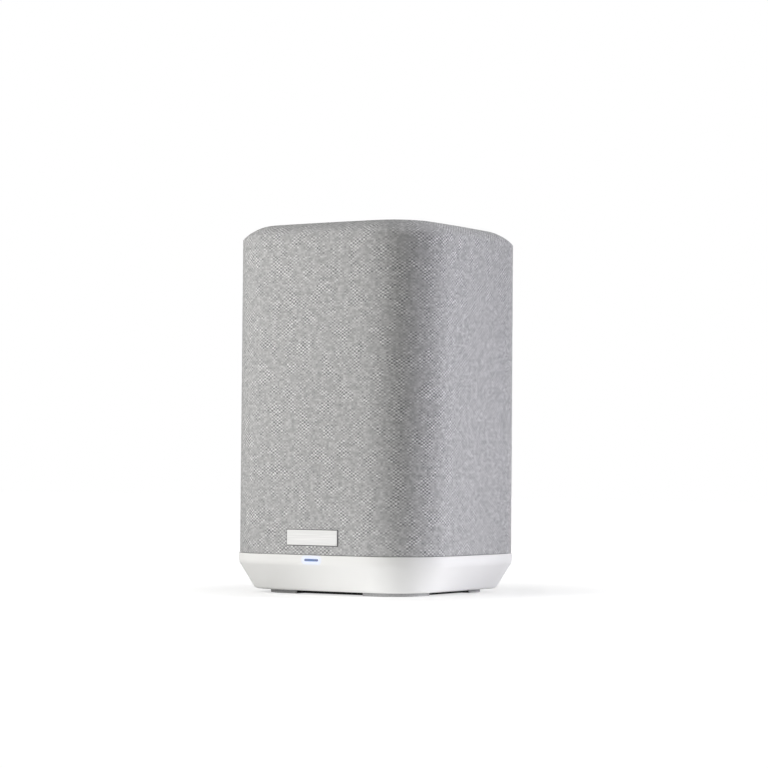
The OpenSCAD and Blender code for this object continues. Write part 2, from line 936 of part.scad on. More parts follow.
module mount_trim() {
  color(white)
    difference() {
      union() {
        rod_y(0, mount_z, half - frame_in - 0.2, half, insert_r + 2.2);
        rod_y(0, mount_z, half, half + badge_proud, insert_r + 4);
      }
      rod_y(0, mount_z, half - frame_in - eps, half + badge_proud + eps, insert_r + 0.05);
    }
}

module base_screws() {
  color(steel)
    for (sx = [-1, 1], y = post_y) {
      rod_z(sx * post_x, y, foot_h, foot_h + low_head_h, head_r);
      rod_z(sx * post_x, y, foot_h + low_head_h, cabinet_z + 6, screw_r);
    }
}

// ---- woofer, drawn along its own axis --------------------------------------------------------

module woofer_basket() {
  wall = 1.8;
  outer_r = spider_ledge_r + 4.2;
  color(dark)
    at_baffle(woofer_z)
      difference() {
        union() {
          ring_part(basket_inner_r, woofer_r, 0, woofer_flange_t);
          for (sx = [-1, 1], sy = [-1, 1])
            translate([sx * ear_x, sy * ear_x, 0])
              cylinder(h = woofer_flange_t, r = ear_r);
          rotate_extrude()
            polygon([[basket_inner_r, woofer_flange_t], [basket_inner_r + wall, woofer_flange_t],
                     [basket_inner_r + wall, -1], [outer_r, spider_z + 1], [outer_r, spider_z - 1.5],
                     [spider_ledge_r + 1.6, spider_z - 1.5], [spider_ledge_r + 1.6, basket_end_z],
                     [plate_bore_r + 3, basket_end_z], [plate_bore_r + 3, basket_end_z + 1.5],
                     [spider_ledge_r, basket_end_z + 1.5], [spider_ledge_r, spider_z],
                     [outer_r - 1.8, spider_z], [outer_r - 1.8, spider_z + 1], [basket_inner_r, -1]]);
        }
        translate([0, 0, -eps])
          cylinder(h = woofer_flange_t + 2 * eps, r = basket_inner_r);
        for (sx = [-1, 1], sy = [-1, 1])
          translate([sx * ear_x, sy * ear_x, -eps])
            cylinder(h = woofer_flange_t + 2 * eps, r = clear_r);
        for (a = [0:60:300])
          rotate(a)
            box(basket_inner_r - 14, woofer_r, -8, 8, spider_z + 2.4, -2.5);
      }
}

module woofer_top_plate() {
  color(steel)
    at_baffle(woofer_z)
      ring_part(plate_bore_r, magnet_r - 2, top_plate_z, basket_end_z);
}

module woofer_magnet() {
  color(dark)
    at_baffle(woofer_z)
      ring_part(plate_bore_r + 2.5, magnet_r, magnet_z, top_plate_z);
}

module woofer_yoke() {
  color(steel)
    at_baffle(woofer_z)
      union() {
        translate([0, 0, magnet_z - yoke_t])
          cylinder(h = yoke_t, r = magnet_r - 2);
        translate([0, 0, magnet_z - 0.5])
          cylinder(h = basket_end_z - magnet_z + 0.5, r = pole_r);
      }
}

module woofer_coil() {
  former_end = magnet_z + woofer_travel + 1.5;
  color(copper)
    at_baffle(woofer_z)
      union() {
        ring_part(coil_r, coil_r + former_t, former_end, cone_z0 + 3);
        ring_part(coil_r + former_t - 0.05, winding_r, top_plate_z - 3, basket_end_z + 3);
      }
}

module woofer_cone() {
  rise = -cone_z0;
  color(dark)
    at_baffle(woofer_z)
      rotate_extrude()
        polygon([[neck_r, cone_z0], [neck_r + 0.8, cone_z0], [cone_r, cone_z0 + rise - cone_t],
                 [cone_r + 2, cone_z0 + rise - cone_t], [cone_r + 2, cone_z0 + rise],
                 [cone_r - 0.4, cone_z0 + rise], [neck_r + 0.8, cone_z0 + 2.4],
                 [neck_r, cone_z0 + 2.4]]);
}

module woofer_dust_cap() {
  cap_r = 20;
  edge_r = neck_r + 2.6;
  drop = sqrt(cap_r * cap_r - edge_r * edge_r);
  cone_slope = (-cone_z0 - 2.4) / (cone_r - neck_r - 1.2);
  edge_z = cone_z0 + 2.4 + (edge_r - neck_r - 0.8) * cone_slope + 0.01;
  color(dark)
    at_baffle(woofer_z)
      translate([0, 0, edge_z - drop])
        rotate_extrude()
          intersection() {
            difference() {
              circle(r = cap_r);
              circle(r = cap_r - 0.6);
            }
            translate([0, drop])
              square([edge_r + 1, cap_r]);
          }
}

module woofer_surround() {
  flat_t = 0.7;
  roll_c = (cone_r + basket_inner_r) / 2 + 0.7;
  color([0.08, 0.08, 0.08])
    at_baffle(woofer_z)
      rotate_extrude() {
        translate([cone_r - 0.2, 0])
          square([roll_c - roll_r + flat_t - cone_r + 0.2, flat_t]);
        translate([roll_c - roll_r, 0])
          square([flat_t, woofer_flange_t + 0.2]);
        intersection() {
          translate([roll_c, woofer_flange_t + 0.2])
            difference() {
              circle(r = roll_r);
              circle(r = roll_r - flat_t);
            }
          translate([roll_c - roll_r, woofer_flange_t + 0.2])
            square([2 * roll_r, roll_r]);
        }
        translate([roll_c + roll_r - flat_t, woofer_flange_t])
          square([basket_inner_r + 2.2 - roll_c - roll_r + flat_t, flat_t]);
      }
}

module woofer_spider() {
  wave = 2.2;
  color([0.72, 0.62, 0.42])
    at_baffle(woofer_z)
      rotate_extrude() {
        translate([neck_r + 0.02, spider_z])
          square([2, 0.5]);
        for (i = [0:3])
          translate([neck_r + 2 + wave * (i + 0.5), spider_z + 0.25])
            intersection() {
              difference() {
                circle(r = wave / 2 + 0.25);
                circle(r = wave / 2 - 0.25);
              }
              translate([-wave, i % 2 == 0 ? 0 : -wave])
                square([2 * wave, wave]);
            }
        translate([neck_r + 2 + 4 * wave - 0.2, spider_z])
          square([outer_spider_r - neck_r - 1.8 - 4 * wave, 0.5]);
      }
}

module woofer_gasket() {
  color(dark)
    at_baffle(woofer_z)
      ring_part(woofer_r - 3, woofer_r, woofer_flange_t, woofer_flange_t + 1.1);
}

module driver_screw(x, z, seat, len) {
  rod_y(x, z, baffle_y - seat - head_h, baffle_y - seat, head_r);
  rod_y(x, z, baffle_y - seat, baffle_y - seat + len, screw_r);
}

module driver_screws() {
  color(steel) {
    for (sx = [-1, 1], sz = [-1, 1])
      driver_screw(sx * ear_x, woofer_z + sz * ear_x, woofer_flange_t, driver_screw_len);
    for (a = [45:90:315])
      driver_screw(t_screw_r * cos(a), tweeter_z + t_screw_r * sin(a), 2.4, driver_screw_len);
  }
}

// ---- tweeter, drawn along its own axis -------------------------------------------------------

module tweeter_faceplate() {
  throat_r = t_seat_r + 0.3;
  color(dark)
    at_baffle(tweeter_z)
      difference() {
        rotate_extrude()
          polygon([[throat_r, 0], [tweeter_r, 0], [tweeter_r, 1.8], [tweeter_r - 0.8, 2.4],
                   [throat_r + 0.6, 2.4], [throat_r, 1.6]]);
        for (a = [45:90:315])
          translate([t_screw_r * cos(a), t_screw_r * sin(a), -eps])
            cylinder(h = 5, r = clear_r);
      }
}

module tweeter_surround() {
  roll_c = dome_r + 0.2 + t_roll_r;
  color([0.10, 0.10, 0.10])
    at_baffle(tweeter_z)
      rotate_extrude() {
        intersection() {
          translate([roll_c, -0.4])
            difference() {
              circle(r = t_roll_r);
              circle(r = t_roll_r - t_surround_t);
            }
          translate([roll_c - t_roll_r, -0.4])
            square([2 * t_roll_r, t_roll_r]);
        }
        translate([roll_c + t_roll_r - t_surround_t, -0.4])
          square([t_yoke_r - roll_c - t_roll_r + t_surround_t, 0.4]);
      }
}

module tweeter_dome() {
  cap_r = (dome_r * dome_r + dome_h * dome_h) / (2 * dome_h);
  color(light_grey)
    at_baffle(tweeter_z)
      translate([0, 0, dome_h - cap_r - 0.4])
        rotate_extrude()
          intersection() {
            difference() {
              circle(r = cap_r);
              circle(r = cap_r - 0.35);
            }
            translate([0, cap_r - dome_h])
              square([dome_r, dome_h + 1]);
          }
}

module tweeter_coil() {
  color(copper)
    at_baffle(tweeter_z)
      ring_part(dome_r - 0.1, dome_r + t_coil_t - 0.1, -5, -0.4);
}

module tweeter_pole_plate() {
  color(steel)
    at_baffle(tweeter_z)
      translate([0, 0, -5])
        cylinder(h = 2.6, r = t_gap_in - 0.1);
}

module tweeter_magnet() {
  color(steel)
    at_baffle(tweeter_z)
      translate([0, 0, -10])
        cylinder(h = 5, r = t_gap_in - 1.4);
}

module tweeter_yoke() {
  color(steel)
    at_baffle(tweeter_z)
      difference() {
        translate([0, 0, -13])
          cylinder(h = 12.6, r = t_yoke_r);
        translate([0, 0, -10])
          cylinder(h = 12, r = t_gap_out);
      }
}

// ---- electronics at the back -----------------------------------------------------------------

module main_board() {
  color(board_green)
    difference() {
      union() {
        box(-main_x, main_x, main_y, main_back_y, main_z0, main_z1);
        for (x = [connect_x, pairing_x])
          box(x - 3, x + 3, main_back_y, main_back_y + switch_t, high_z - 3, high_z + 3);
        box(reset_x - 2.2, reset_x + 2.2, main_back_y, main_back_y + reset_switch_t,
            reset_z - 2.2, reset_z + 2.2);
        box(4 - post_out, 14 - post_out, main_back_y, main_back_y + 3, main_z1 - 6, main_z1 - 2);
        box(post_out - 12, post_out - 4, main_back_y, main_back_y + 1.4, main_z0 + 8, main_z0 + 16);
      }
      box(inlet_x - 14, inlet_x + 14, main_y - eps, main_back_y + eps, main_z0 - eps, low_z + 8.8);
      for (x = [connect_x, pairing_x])
        rod_y(x, high_z, main_back_y + switch_t - 1.6, main_back_y + switch_t + eps, 2);
      rod_y(reset_x, reset_z, main_back_y + reset_switch_t - 1.2, main_back_y + reset_switch_t + eps,
            1.3);
      for (p = main_post)
        rod_y(p[0], p[1], main_y - eps, main_back_y + eps, clear_r);
    }
}

module shield_can() {
  color(steel)
    difference() {
      box(-28, -4, main_back_y, main_back_y + 3, tray_z1 + 1.4, main_z1 - 8.1);
      box(-27.6, -4.4, main_back_y - eps, main_back_y + 2.6, tray_z1 + 1.8, main_z1 - 8.5);
    }
}

module amp_heatsink() {
  color(steel)
    union() {
      box(12, 36, main_back_y, main_back_y + 2.5, tray_z1 + 3.4, main_z1 - 2.1);
      for (i = [0:5])
        box(12 + i * 4.5, 13.5 + i * 4.5, main_back_y + 2, main_back_y + 11, tray_z1 + 3.4,
            main_z1 - 2.1);
    }
}

module rear_panel() {
  color(dark)
    slab_y(recess_in_y, recess_wall_y)
      difference() {
        translate([0, (tray_z0 + tray_z1) / 2])
          square([tray_w, tray_z1 - tray_z0], center = true);
        translate([inlet_x, low_z])
          rounded_rect(22.2, 15.2, 3);
        translate([network_x, low_z])
          square([16.4, 13.9], center = true);
        translate([media_x, high_z])
          square([14.9, 7.4], center = true);
        translate([aux_x, high_z])
          circle(r = 3.5);
        for (x = [connect_x, pairing_x])
          translate([x, high_z])
            circle(r = button_r + button_gap);
        translate([reset_x, reset_z])
          circle(r = 1);
      }
}

module recess_frame() {
  color(dark)
    slab_y(recess_wall_y, half - 0.3)
      translate([0, (tray_z0 + tray_z1) / 2])
        difference() {
          square([tray_w, tray_z1 - tray_z0], center = true);
          square([recess_w, recess_h], center = true);
        }
}

module power_inlet() {
  color([0.10, 0.10, 0.10])
    difference() {
      union() {
        slab_y(recess_wall_y - 16, recess_wall_y)
          translate([inlet_x, low_z])
            rounded_rect(22, 15, 3);
        slab_y(recess_in_y - 1.5, recess_in_y)
          translate([inlet_x, low_z])
            rounded_rect(24.6, 17.6, 3);
      }
      slab_y(recess_wall_y - 12, recess_wall_y + eps)
        translate([inlet_x, low_z])
          slot_2d(14.6, 8.2);
      for (s = [-1, 1])
        rod_y(inlet_x + s * 4.3, low_z, recess_wall_y - 17, recess_wall_y - 11, 1.2);
    }
}

module inlet_pins() {
  color(steel)
    for (s = [-1, 1])
      rod_y(inlet_x + s * 4.3, low_z, recess_wall_y - 19, recess_wall_y - 2.5, 1.18);
}

module network_jack() {
  y1 = recess_wall_y;
  color(steel)
    difference() {
      slab_y(main_back_y, y1)
        translate([network_x, low_z])
          square([16, 13.5], center = true);
      slab_y(y1 - jack_len * 5 / 6, y1 + eps)
        translate([network_x, low_z]) {
          square([12, 7.2], center = true);
          translate([0, -4.4])
            square([6, 3.6], center = true);
        }
    }
}

module media_port() {
  y1 = recess_wall_y;
  color(steel)
    difference() {
      slab_y(main_back_y, y1)
        translate([media_x, high_z])
          square([14.5, 7], center = true);
      difference() {
        slab_y(y1 - jack_len + 4.4, y1 + eps)
          translate([media_x, high_z])
            square([12.5, 5.1], center = true);
        slab_y(y1 - jack_len + 3.4, y1 - 1)
          translate([media_x, high_z + 1.25])
            square([10.4, 1.5], center = true);
      }
    }
}

module aux_jack() {
  y1 = recess_wall_y;
  color([0.10, 0.10, 0.10])
    difference() {
      union() {
        box(aux_x - 3.6, aux_x + 3.6, main_back_y, recess_in_y, high_z - 4, high_z + 4);
        rod_y(aux_x, high_z, recess_in_y - 0.2, y1 + 0.4, 3.3);
      }
      rod_y(aux_x, high_z, y1 - jack_len + 1.4, y1 + eps, aux_r);
    }
}

module push_button(x) {
  rod_y(x, high_z, recess_in_y - 1.6, recess_wall_y + button_proud, button_r);
  rod_y(x, high_z, recess_in_y - 1.6, recess_in_y - 0.1, button_r + 1.3);
  rod_y(x, high_z, main_back_y + switch_t - 0.8, recess_in_y - 1.5, 1.5);
}

module connect_button() {
  color(light_grey)
    push_button(connect_x);
}

module pairing_button() {
  color(light_grey)
    push_button(pairing_x);
}

module reset_plunger() {
  color(dark)
    rod_y(reset_x, reset_z, main_back_y + reset_switch_t - 0.8, recess_in_y - 0.4, 0.9);
}

// ---- power supply in the base ----------------------------------------------------------------

module power_board() {
  w = power_w / 2;
  d = power_d / 2;
  z1 = power_z + board_t;
  color(board_green)
    difference() {
      union() {
        box(-w, w, -d, d, power_z, z1);
        box(-16, 10, -14, 10, z1, z1 + 13);
        for (s = [-1, 1])
          rod_z(s * (power_at - 5), 13 - power_at, z1, z1 + 12, 5.5);
        box(7 - power_at, -2, power_at - 7, power_at + 5, z1, z1 + filter_t);
        box(power_at - 11, power_at + 2, power_at - 25, power_at - 5, z1, z1 + 11);
      }
      for (p = power_post)
        rod_z(p[0], p[1], power_z - eps, z1 + 9, clear_r);
      for (p = power_post)
        rod_z(p[0], p[1], z1, z1 + 20, head_r + 0.4);
    }
}

module board_screws() {
  z1 = power_z + board_t;
  color(steel)
    union() {
      for (p = power_post) {
        rod_z(p[0], p[1], z1, z1 + head_h, head_r);
        rod_z(p[0], p[1], z1 - 4.4, z1, screw_r);
      }
      for (p = main_post) {
        rod_y(p[0], p[1], main_back_y, main_back_y + head_h, head_r);
        rod_y(p[0], p[1], main_back_y - 4.4, main_back_y, screw_r);
      }
    }
}

module ribbon_cable() {
  y0 = main_y - 0.4;
  color(light_grey)
    union() {
      box(-32, -22, y0, main_y, main_z1 - 8, board_low_z);
      box(-32, -22, main_y - 4, main_y, board_low_z - 0.4, board_low_z);
    }
}

module speaker_leads() {
  back = cabinet_back_y;
  color([0.55, 0.12, 0.10])
    wire([[0, baffle_y + 9, tweeter_z - 18.5], [-14, baffle_y + 22, tweeter_z - 16],
          [-14, back - 8, tweeter_z - 32], [-14, back - 8, lead_z], [-14, back + 1.6, lead_z],
          [-14, main_y - 1.1, main_z1 - 2]], 1);
  color([0.55, 0.12, 0.10])
    wire([[-20, baffle_y + 12, woofer_z + woofer_r - 9.5], [-14, baffle_y + 30, tweeter_z - 26],
          [-14, back - 8, tweeter_z - 32]], 1);
}

module mains_lead() {
  color([0.20, 0.20, 0.20])
    wire([[inlet_x, recess_wall_y - 17.66, low_z], [inlet_x, main_y - 2, low_z - 6],
          [inlet_x, cabinet_back_y - 4, power_z + board_t + filter_t + 1.66]], 1.5);
}

// ---- drawing ---------------------------------------------------------------------------------

fabric_sleeve();
grille_frame();
rear_frame();
base_shell();
bottom_plate();
foot_ring();
badge();
status_light_pipe();
status_led_board();
top_trim_ring();
top_panel();
legend_light_guide();
touch_board();
top_carrier();
cabinet_body();
cabinet_front();
cabinet_gasket();
cabinet_screws();
damping_pad();
bass_port();
mount_insert();
mount_trim();
base_screws();
woofer_basket();
woofer_top_plate();
woofer_magnet();
woofer_yoke();
woofer_coil();
woofer_cone();
woofer_dust_cap();
woofer_surround();
woofer_spider();
woofer_gasket();
driver_screws();
tweeter_faceplate();
tweeter_surround();
tweeter_dome();
tweeter_coil();
tweeter_pole_plate();
tweeter_magnet();
tweeter_yoke();
main_board();
shield_can();
amp_heatsink();
rear_panel();
recess_frame();
power_inlet();
inlet_pins();
network_jack();
media_port();
aux_jack();
connect_button();
pairing_button();
reset_plunger();
power_board();
board_screws();
ribbon_cable();
speaker_leads();
mains_lead();
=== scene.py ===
import math

import bmesh
import bpy
import numpy as np
from mathutils import Matrix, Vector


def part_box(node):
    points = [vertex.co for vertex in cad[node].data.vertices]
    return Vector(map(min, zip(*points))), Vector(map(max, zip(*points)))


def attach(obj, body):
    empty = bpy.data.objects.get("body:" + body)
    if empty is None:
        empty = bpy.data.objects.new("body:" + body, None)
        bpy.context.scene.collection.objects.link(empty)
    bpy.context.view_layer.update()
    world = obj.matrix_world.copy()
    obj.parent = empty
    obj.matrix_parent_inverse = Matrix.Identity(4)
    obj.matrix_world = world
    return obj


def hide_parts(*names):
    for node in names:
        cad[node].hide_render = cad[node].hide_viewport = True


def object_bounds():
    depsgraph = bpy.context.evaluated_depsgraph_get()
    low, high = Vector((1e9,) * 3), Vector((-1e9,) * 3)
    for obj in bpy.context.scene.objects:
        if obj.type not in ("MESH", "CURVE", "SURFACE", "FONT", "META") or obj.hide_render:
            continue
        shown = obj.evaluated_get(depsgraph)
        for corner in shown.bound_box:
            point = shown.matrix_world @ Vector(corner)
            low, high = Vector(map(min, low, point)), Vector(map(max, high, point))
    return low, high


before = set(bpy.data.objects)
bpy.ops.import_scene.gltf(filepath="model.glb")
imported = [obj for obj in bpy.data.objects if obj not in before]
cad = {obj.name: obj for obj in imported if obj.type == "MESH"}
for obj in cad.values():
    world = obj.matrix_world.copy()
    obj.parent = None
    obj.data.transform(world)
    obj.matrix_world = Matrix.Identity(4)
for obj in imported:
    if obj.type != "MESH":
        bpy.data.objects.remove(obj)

cad_box = [list(map(float, corner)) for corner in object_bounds()]
scene = bpy.context.scene
scene.view_settings.view_transform = "Standard"

# ---- Camera ------------------------------------------------------------------------------------
# A long lens a little above table height, looking slightly up at the front right of the speaker,
# so the top panel stays out of sight and the corner of the cover faces the viewer.

lens = bpy.data.cameras.new("camera")
lens.lens = 116.57
lens.sensor_width = 36
camera = bpy.data.objects.new("camera", lens)
camera.matrix_world = (
    Matrix.Translation((0.6886, -1.0887, 0.0618))
    @ Matrix.Rotation(math.radians(32.173), 4, "Z")
    @ Matrix.Rotation(math.radians(92.027), 4, "X")
    @ Matrix.Rotation(math.radians(0.464), 4, "Z")
)
scene.collection.objects.link(camera)
scene.camera = camera

# ---- Studio ------------------------------------------------------------------------------------
# A white table that runs out to a white room. Two gridded soft boxes, left of the front and behind
# the right side, leave the corner between them darker; weaker ones light the back and the top.


def linear(colour):
    """sRGB hex to linear red, green, blue and alpha: ((c + 0.055) / 1.055) ^ 2.4 above 0.04045."""
    parts = [int(colour[i:i + 2], 16) / 255 for i in (1, 3, 5)]
    return [c / 12.92 if c <= 0.04045 else ((c + 0.055) / 1.055) ** 2.4 for c in parts] + [1.0]


def add(tree, kind, settings, inputs):
    """One shader node. settings are its own choices; inputs are values, or the outputs feeding it."""
    made = tree.nodes.new(kind)
    for name, value in settings.items():
        setattr(made, name, value)
    for name, value in inputs.items():
        if isinstance(value, bpy.types.NodeSocket):
            tree.links.new(value, made.inputs[name])
        else:
            made.inputs[name].default_value = value
    return made


def soft_box(name, bearing, height, distance, aim, size, spread, level, tint):
    """Studio soft box with a grid. It stands the distance from the aim, at a bearing in degrees
    round from the front towards the right and a height in degrees. Its power is level * pi over
    what one watt sends to the aim, so level 1 shows a colour there as bright as it is written:
    watts = level * pi^2 / mean(grid * (distance / r)^2 / r^2), with r from each point of the box
    and grid = (1 - tan(off axis) / tan(spread / 2)) / (1 - (spread / 2) / tan(spread / 2))."""
    lamp = bpy.data.lights.new(name, "AREA")
    lamp.shape = "RECTANGLE"
    lamp.size, lamp.size_y = size
    lamp.spread = math.radians(spread)
    samples = 60
    steps = (np.arange(samples) + 0.5) / samples - 0.5
    across, up = np.meshgrid(steps * size[0], steps * size[1])
    off_axis = np.hypot(across, up) / distance
    cut_off = math.tan(lamp.spread / 2)
    grid = np.maximum(1 - off_axis / cut_off, 0) / (1 - lamp.spread / 2 / cut_off)
    r2 = distance ** 2 * (1 + off_axis ** 2)
    lamp.energy = level * math.pi ** 2 / (grid * distance ** 2 / r2 ** 2).mean()
    lamp.color = linear(tint)[:3]
    holder = bpy.data.objects.new(name, lamp)
    holder.matrix_world = (
        Matrix.Translation(aim) @ Matrix.Rotation(math.radians(bearing), 4, "Z")
        @ Matrix.Rotation(math.radians(90 - height), 4, "X") @ Matrix.Translation((0, 0, distance))
    )
    scene.collection.objects.link(holder)


soft_box("left_front_box", -25.6, 14, 0.434, (0, -0.06, 0.095), (0.35, 0.42), 170, 0.84, "#FFFEFB")
soft_box("right_rear_box", 126.6, 8, 0.7, (0.06, -0.05, 0.1), (0.2, 0.36), 27.7, 1.11, "#FAF9FF")
soft_box("back_box", -158, 7, 0.8, (0, 0.06, 0.1), (0.5, 0.36), 60, 0.55, "#FFFFFF")
soft_box("overhead_box", 0, 90, 0.9, (0, 0, 0.187), (0.3, 0.3), 50, 0.32, "#FFFFFF")


def seen_ray(tree):
    """1 where the eye looks straight at the surface, in a reflection or through glass, else 0."""
    path = add(tree, "ShaderNodeLightPath", {}, {})
    seen = add(tree, "ShaderNodeMath", {"operation": "MAXIMUM"},
               {0: path.outputs["Is Camera Ray"], 1: path.outputs["Is Glossy Ray"]})
    return add(tree, "ShaderNodeMath", {"operation": "MAXIMUM"},
               {0: seen.outputs[0], 1: path.outputs["Is Transmission Ray"]})


# The room is white to the eye and sends only a little even light.
room = bpy.data.worlds.new("white_room")
room.use_nodes = True
room.node_tree.nodes.clear()
tree = room.node_tree
seen = seen_ray(tree)
level = add(tree, "ShaderNodeMapRange", {}, {"Value": seen.outputs[0], "To Min": 0.03, "To Max": 1.0})
sky = add(tree, "ShaderNodeBackground", {}, {"Color": (1, 1, 1, 1), "Strength": level.outputs[0]})
add(tree, "ShaderNodeOutputWorld", {}, {"Surface": sky.outputs[0]})
scene.world = room

edge = 4
table_mesh = bpy.data.meshes.new("table")
corners = [(-edge, -edge, 0), (edge, -edge, 0), (edge, edge, 0), (-edge, edge, 0)]
table_mesh.from_pydata(corners, [], [(0, 1, 2, 3)])
table = bpy.data.objects.new("table", table_mesh)
scene.collection.objects.link(table)
# Matt white laminate that glows a little in a pool before the speaker's front corner, which lights
# the taper of the base. To the eye it glows near white, but less within 20 cm of the speaker: painted
# shade round it, which deepens the contact shade.
laminate = bpy.data.materials.new("white_laminate")
laminate.use_nodes = True
laminate.node_tree.nodes.clear()
tree = laminate.node_tree
seen = seen_ray(tree)
place = add(tree, "ShaderNodeTexCoord", {}, {})
away = add(tree, "ShaderNodeVectorMath", {"operation": "LENGTH"}, {0: place.outputs["Object"]})
pool_at = (0.046, -0.074, 0)
off_pool = add(tree, "ShaderNodeVectorMath", {"operation": "DISTANCE"},
               {0: place.outputs["Object"], 1: pool_at})
pool = add(tree, "ShaderNodeMapRange", {},
           {"Value": off_pool.outputs["Value"], "From Min": 0.02, "From Max": 0.08,
            "To Min": 0.55, "To Max": 0.02})
# To the eye the glow is 0.6 within 8 cm of the middle and 1.0 from 20 cm on: painted shade round the speaker.
seen_glow_painted_shade = add(tree, "ShaderNodeMapRange", {},
          {"Value": away.outputs["Value"], "From Min": 0.08, "From Max": 0.2, "To Min": 0.6, "To Max": 1.0})
level = add(tree, "ShaderNodeMapRange", {},
            {"Value": seen.outputs[0], "To Min": pool.outputs[0], "To Max": seen_glow_painted_shade.outputs[0]})
matt = add(tree, "ShaderNodeBsdfDiffuse", {}, {"Color": linear("#BCBCBC")})
glow = add(tree, "ShaderNodeEmission", {}, {"Color": (1, 1, 1, 1), "Strength": level.outputs[0]})
both = add(tree, "ShaderNodeAddShader", {}, {0: matt.outputs[0], 1: glow.outputs[0]})
add(tree, "ShaderNodeOutputMaterial", {}, {"Surface": both.outputs[0]})
table_mesh.materials.append(laminate)

# ---- Knitted cover -----------------------------------------------------------------------------
# Grey melange polyester speaker cloth, cut as one tube and stretched over the perforated sleeve.
# It rolls in over the top edge to the trim ring, and ends in the joint above the white base.

mm = 0.001
half = (cad_box[1][0] - cad_box[0][0]) / 2
tall = cad_box[1][2]
side_bow_r = 600 * mm
corner_r = 31 * mm
flat_rows = 12
corner_rows = 24
bow_share = (half - corner_r) / (side_bow_r - corner_r)
bow = math.pi / 4 + math.asin((bow_share - 1) / math.sqrt(2))
corner_at = (side_bow_r - corner_r) * math.sin(bow)


def outline_parts():
    """The plan of the column as four long arcs that bow outwards by a hair, and four corner arcs.

    Every column of the outline is centre + (radius - inset) * direction. It starts at the middle
    of the back and runs counterclockwise. Returns centre, radius, direction and the length along
    the outline at each column, with the full length last."""
    half_side = np.linspace(0, bow, flat_rows // 2 + 1)
    angle, radius, centre = [], [], []
    for quarter in range(1, 5):
        base = quarter * math.pi / 2
        side_c = (half - side_bow_r) * np.array([math.cos(base), math.sin(base)])
        corner_c = corner_at * np.array([math.cos(base) - math.sin(base), math.sin(base) + math.cos(base)])
        next_base = base + math.pi / 2
        next_c = (half - side_bow_r) * np.array([math.cos(next_base), math.sin(next_base)])
        turn = np.linspace(bow, math.pi / 2 - bow, corner_rows + 1)
        for angles, r, c in ((half_side[:-1], side_bow_r, side_c), (turn[:-1], corner_r, corner_c)):
            angle.append(base + angles)
            radius.append(np.full(len(angles), r))
            centre.append(np.tile(c, (len(angles), 1)))
        back = next_base - half_side[::-1][:-1]
        angle.append(back)
        radius.append(np.full(len(back), side_bow_r))
        centre.append(np.tile(next_c, (len(back), 1)))
    angle, radius, centre = np.concatenate(angle), np.concatenate(radius), np.concatenate(centre)
    direction = np.stack([np.cos(angle), np.sin(angle)], 1)
    points = centre + radius[:, None] * direction
    step = np.linalg.norm(np.roll(points, -1, 0) - points, axis=1)
    return centre, radius, direction, np.concatenate([[0], np.cumsum(step)])


centre, radius, direction, along = outline_parts()


def swept(name, rows, closed):
    """Carries a section round the outline. Row (inset, z) gives the points
    centre + (radius - inset) * direction at height z; rows run up the outside, so that faces look
    outwards. closed joins the last row to the first. The map "cloth" holds the lengths along the
    outline and along the section, in metres."""
    rows = np.asarray(rows, float)
    inset, z = rows[:, 0], rows[:, 1]
    n, m = len(radius), len(rows)
    xy = centre[None] + (radius[None] - inset[:, None])[..., None] * direction[None]
    verts = np.concatenate([xy, np.broadcast_to(z[:, None, None], (m, n, 1))], 2).reshape(-1, 3)
    ring = np.concatenate([rows, rows[:1]]) if closed else rows
    up = np.concatenate([[0], np.cumsum(np.linalg.norm(np.diff(ring, axis=0), axis=1))])
    i, j = np.meshgrid(np.arange(len(ring) - 1), np.arange(n), indexing="ij")
    i, j = i.ravel(), j.ravel()
    i1, j1 = (i + 1) % m, (j + 1) % n
    faces = np.stack([i * n + j, i * n + j1, i1 * n + j1, i1 * n + j], 1)
    uv = np.stack([np.stack([along[j], up[i]], 1), np.stack([along[j + 1], up[i]], 1),
                   np.stack([along[j + 1], up[i + 1]], 1), np.stack([along[j], up[i + 1]], 1)], 1)
    return mesh_piece(name, verts, faces, uv.reshape(-1, 2))


def mesh_piece(name, verts, faces, uv=None):
    """A smooth-shaded mesh object at the origin from arrays of points, faces and face-corner map."""
    mesh = bpy.data.meshes.new(name)
    mesh.from_pydata(np.asarray(verts).tolist(), [], [list(map(int, f)) for f in faces])
    if uv is not None:
        mesh.uv_layers.new(name="cloth").data.foreach_set("uv", np.asarray(uv, np.float32).ravel())
    mesh.polygons.foreach_set("use_smooth", np.ones(len(mesh.polygons), bool))
    mesh.update()
    made = bpy.data.objects.new(name, mesh)
    scene.collection.objects.link(made)
    return made


seam_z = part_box("fabric_sleeve")[0].z + 0.4 * mm
cover_low = seam_z + 0.15 * mm
lip_inset = 15 * mm
roll_w = 11.26 * mm
roll_h = 6.88 * mm
roll_power = 1.506
roll_z = tall - roll_h
hem_in = 0.9 * mm
hem_r = 0.4 * mm
recess_low, recess_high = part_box("recess_frame")
recess_z = (recess_low.z + 0.1 * mm, recess_high.z - 0.1 * mm)
insert_low, insert_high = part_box("mount_insert")
thread_r = 4.71 * mm
thread_at = (insert_low.z + insert_high.z) / 2
thread_z = (thread_at - thread_r, thread_at + thread_r)
wall_low = 21.6 * mm
walls = np.concatenate([
    np.linspace(wall_low, recess_z[0], 3)[:-1], np.linspace(recess_z[0], recess_z[1], 9)[:-1],
    np.linspace(recess_z[1], thread_z[0], 8)[:-1], np.linspace(thread_z[0], thread_z[1], 3)[:-1],
    np.linspace(thread_z[1], roll_z, 13)])
arc = np.linspace(0, math.pi / 2, 25)[1:]
cover_rows = [(hem_in, cover_low), (0.35 * mm, cover_low), (0.1 * mm, cover_low + 0.12 * mm),
              (0.0, cover_low + hem_r)]
cover_rows += [(0.0, z) for z in walls]
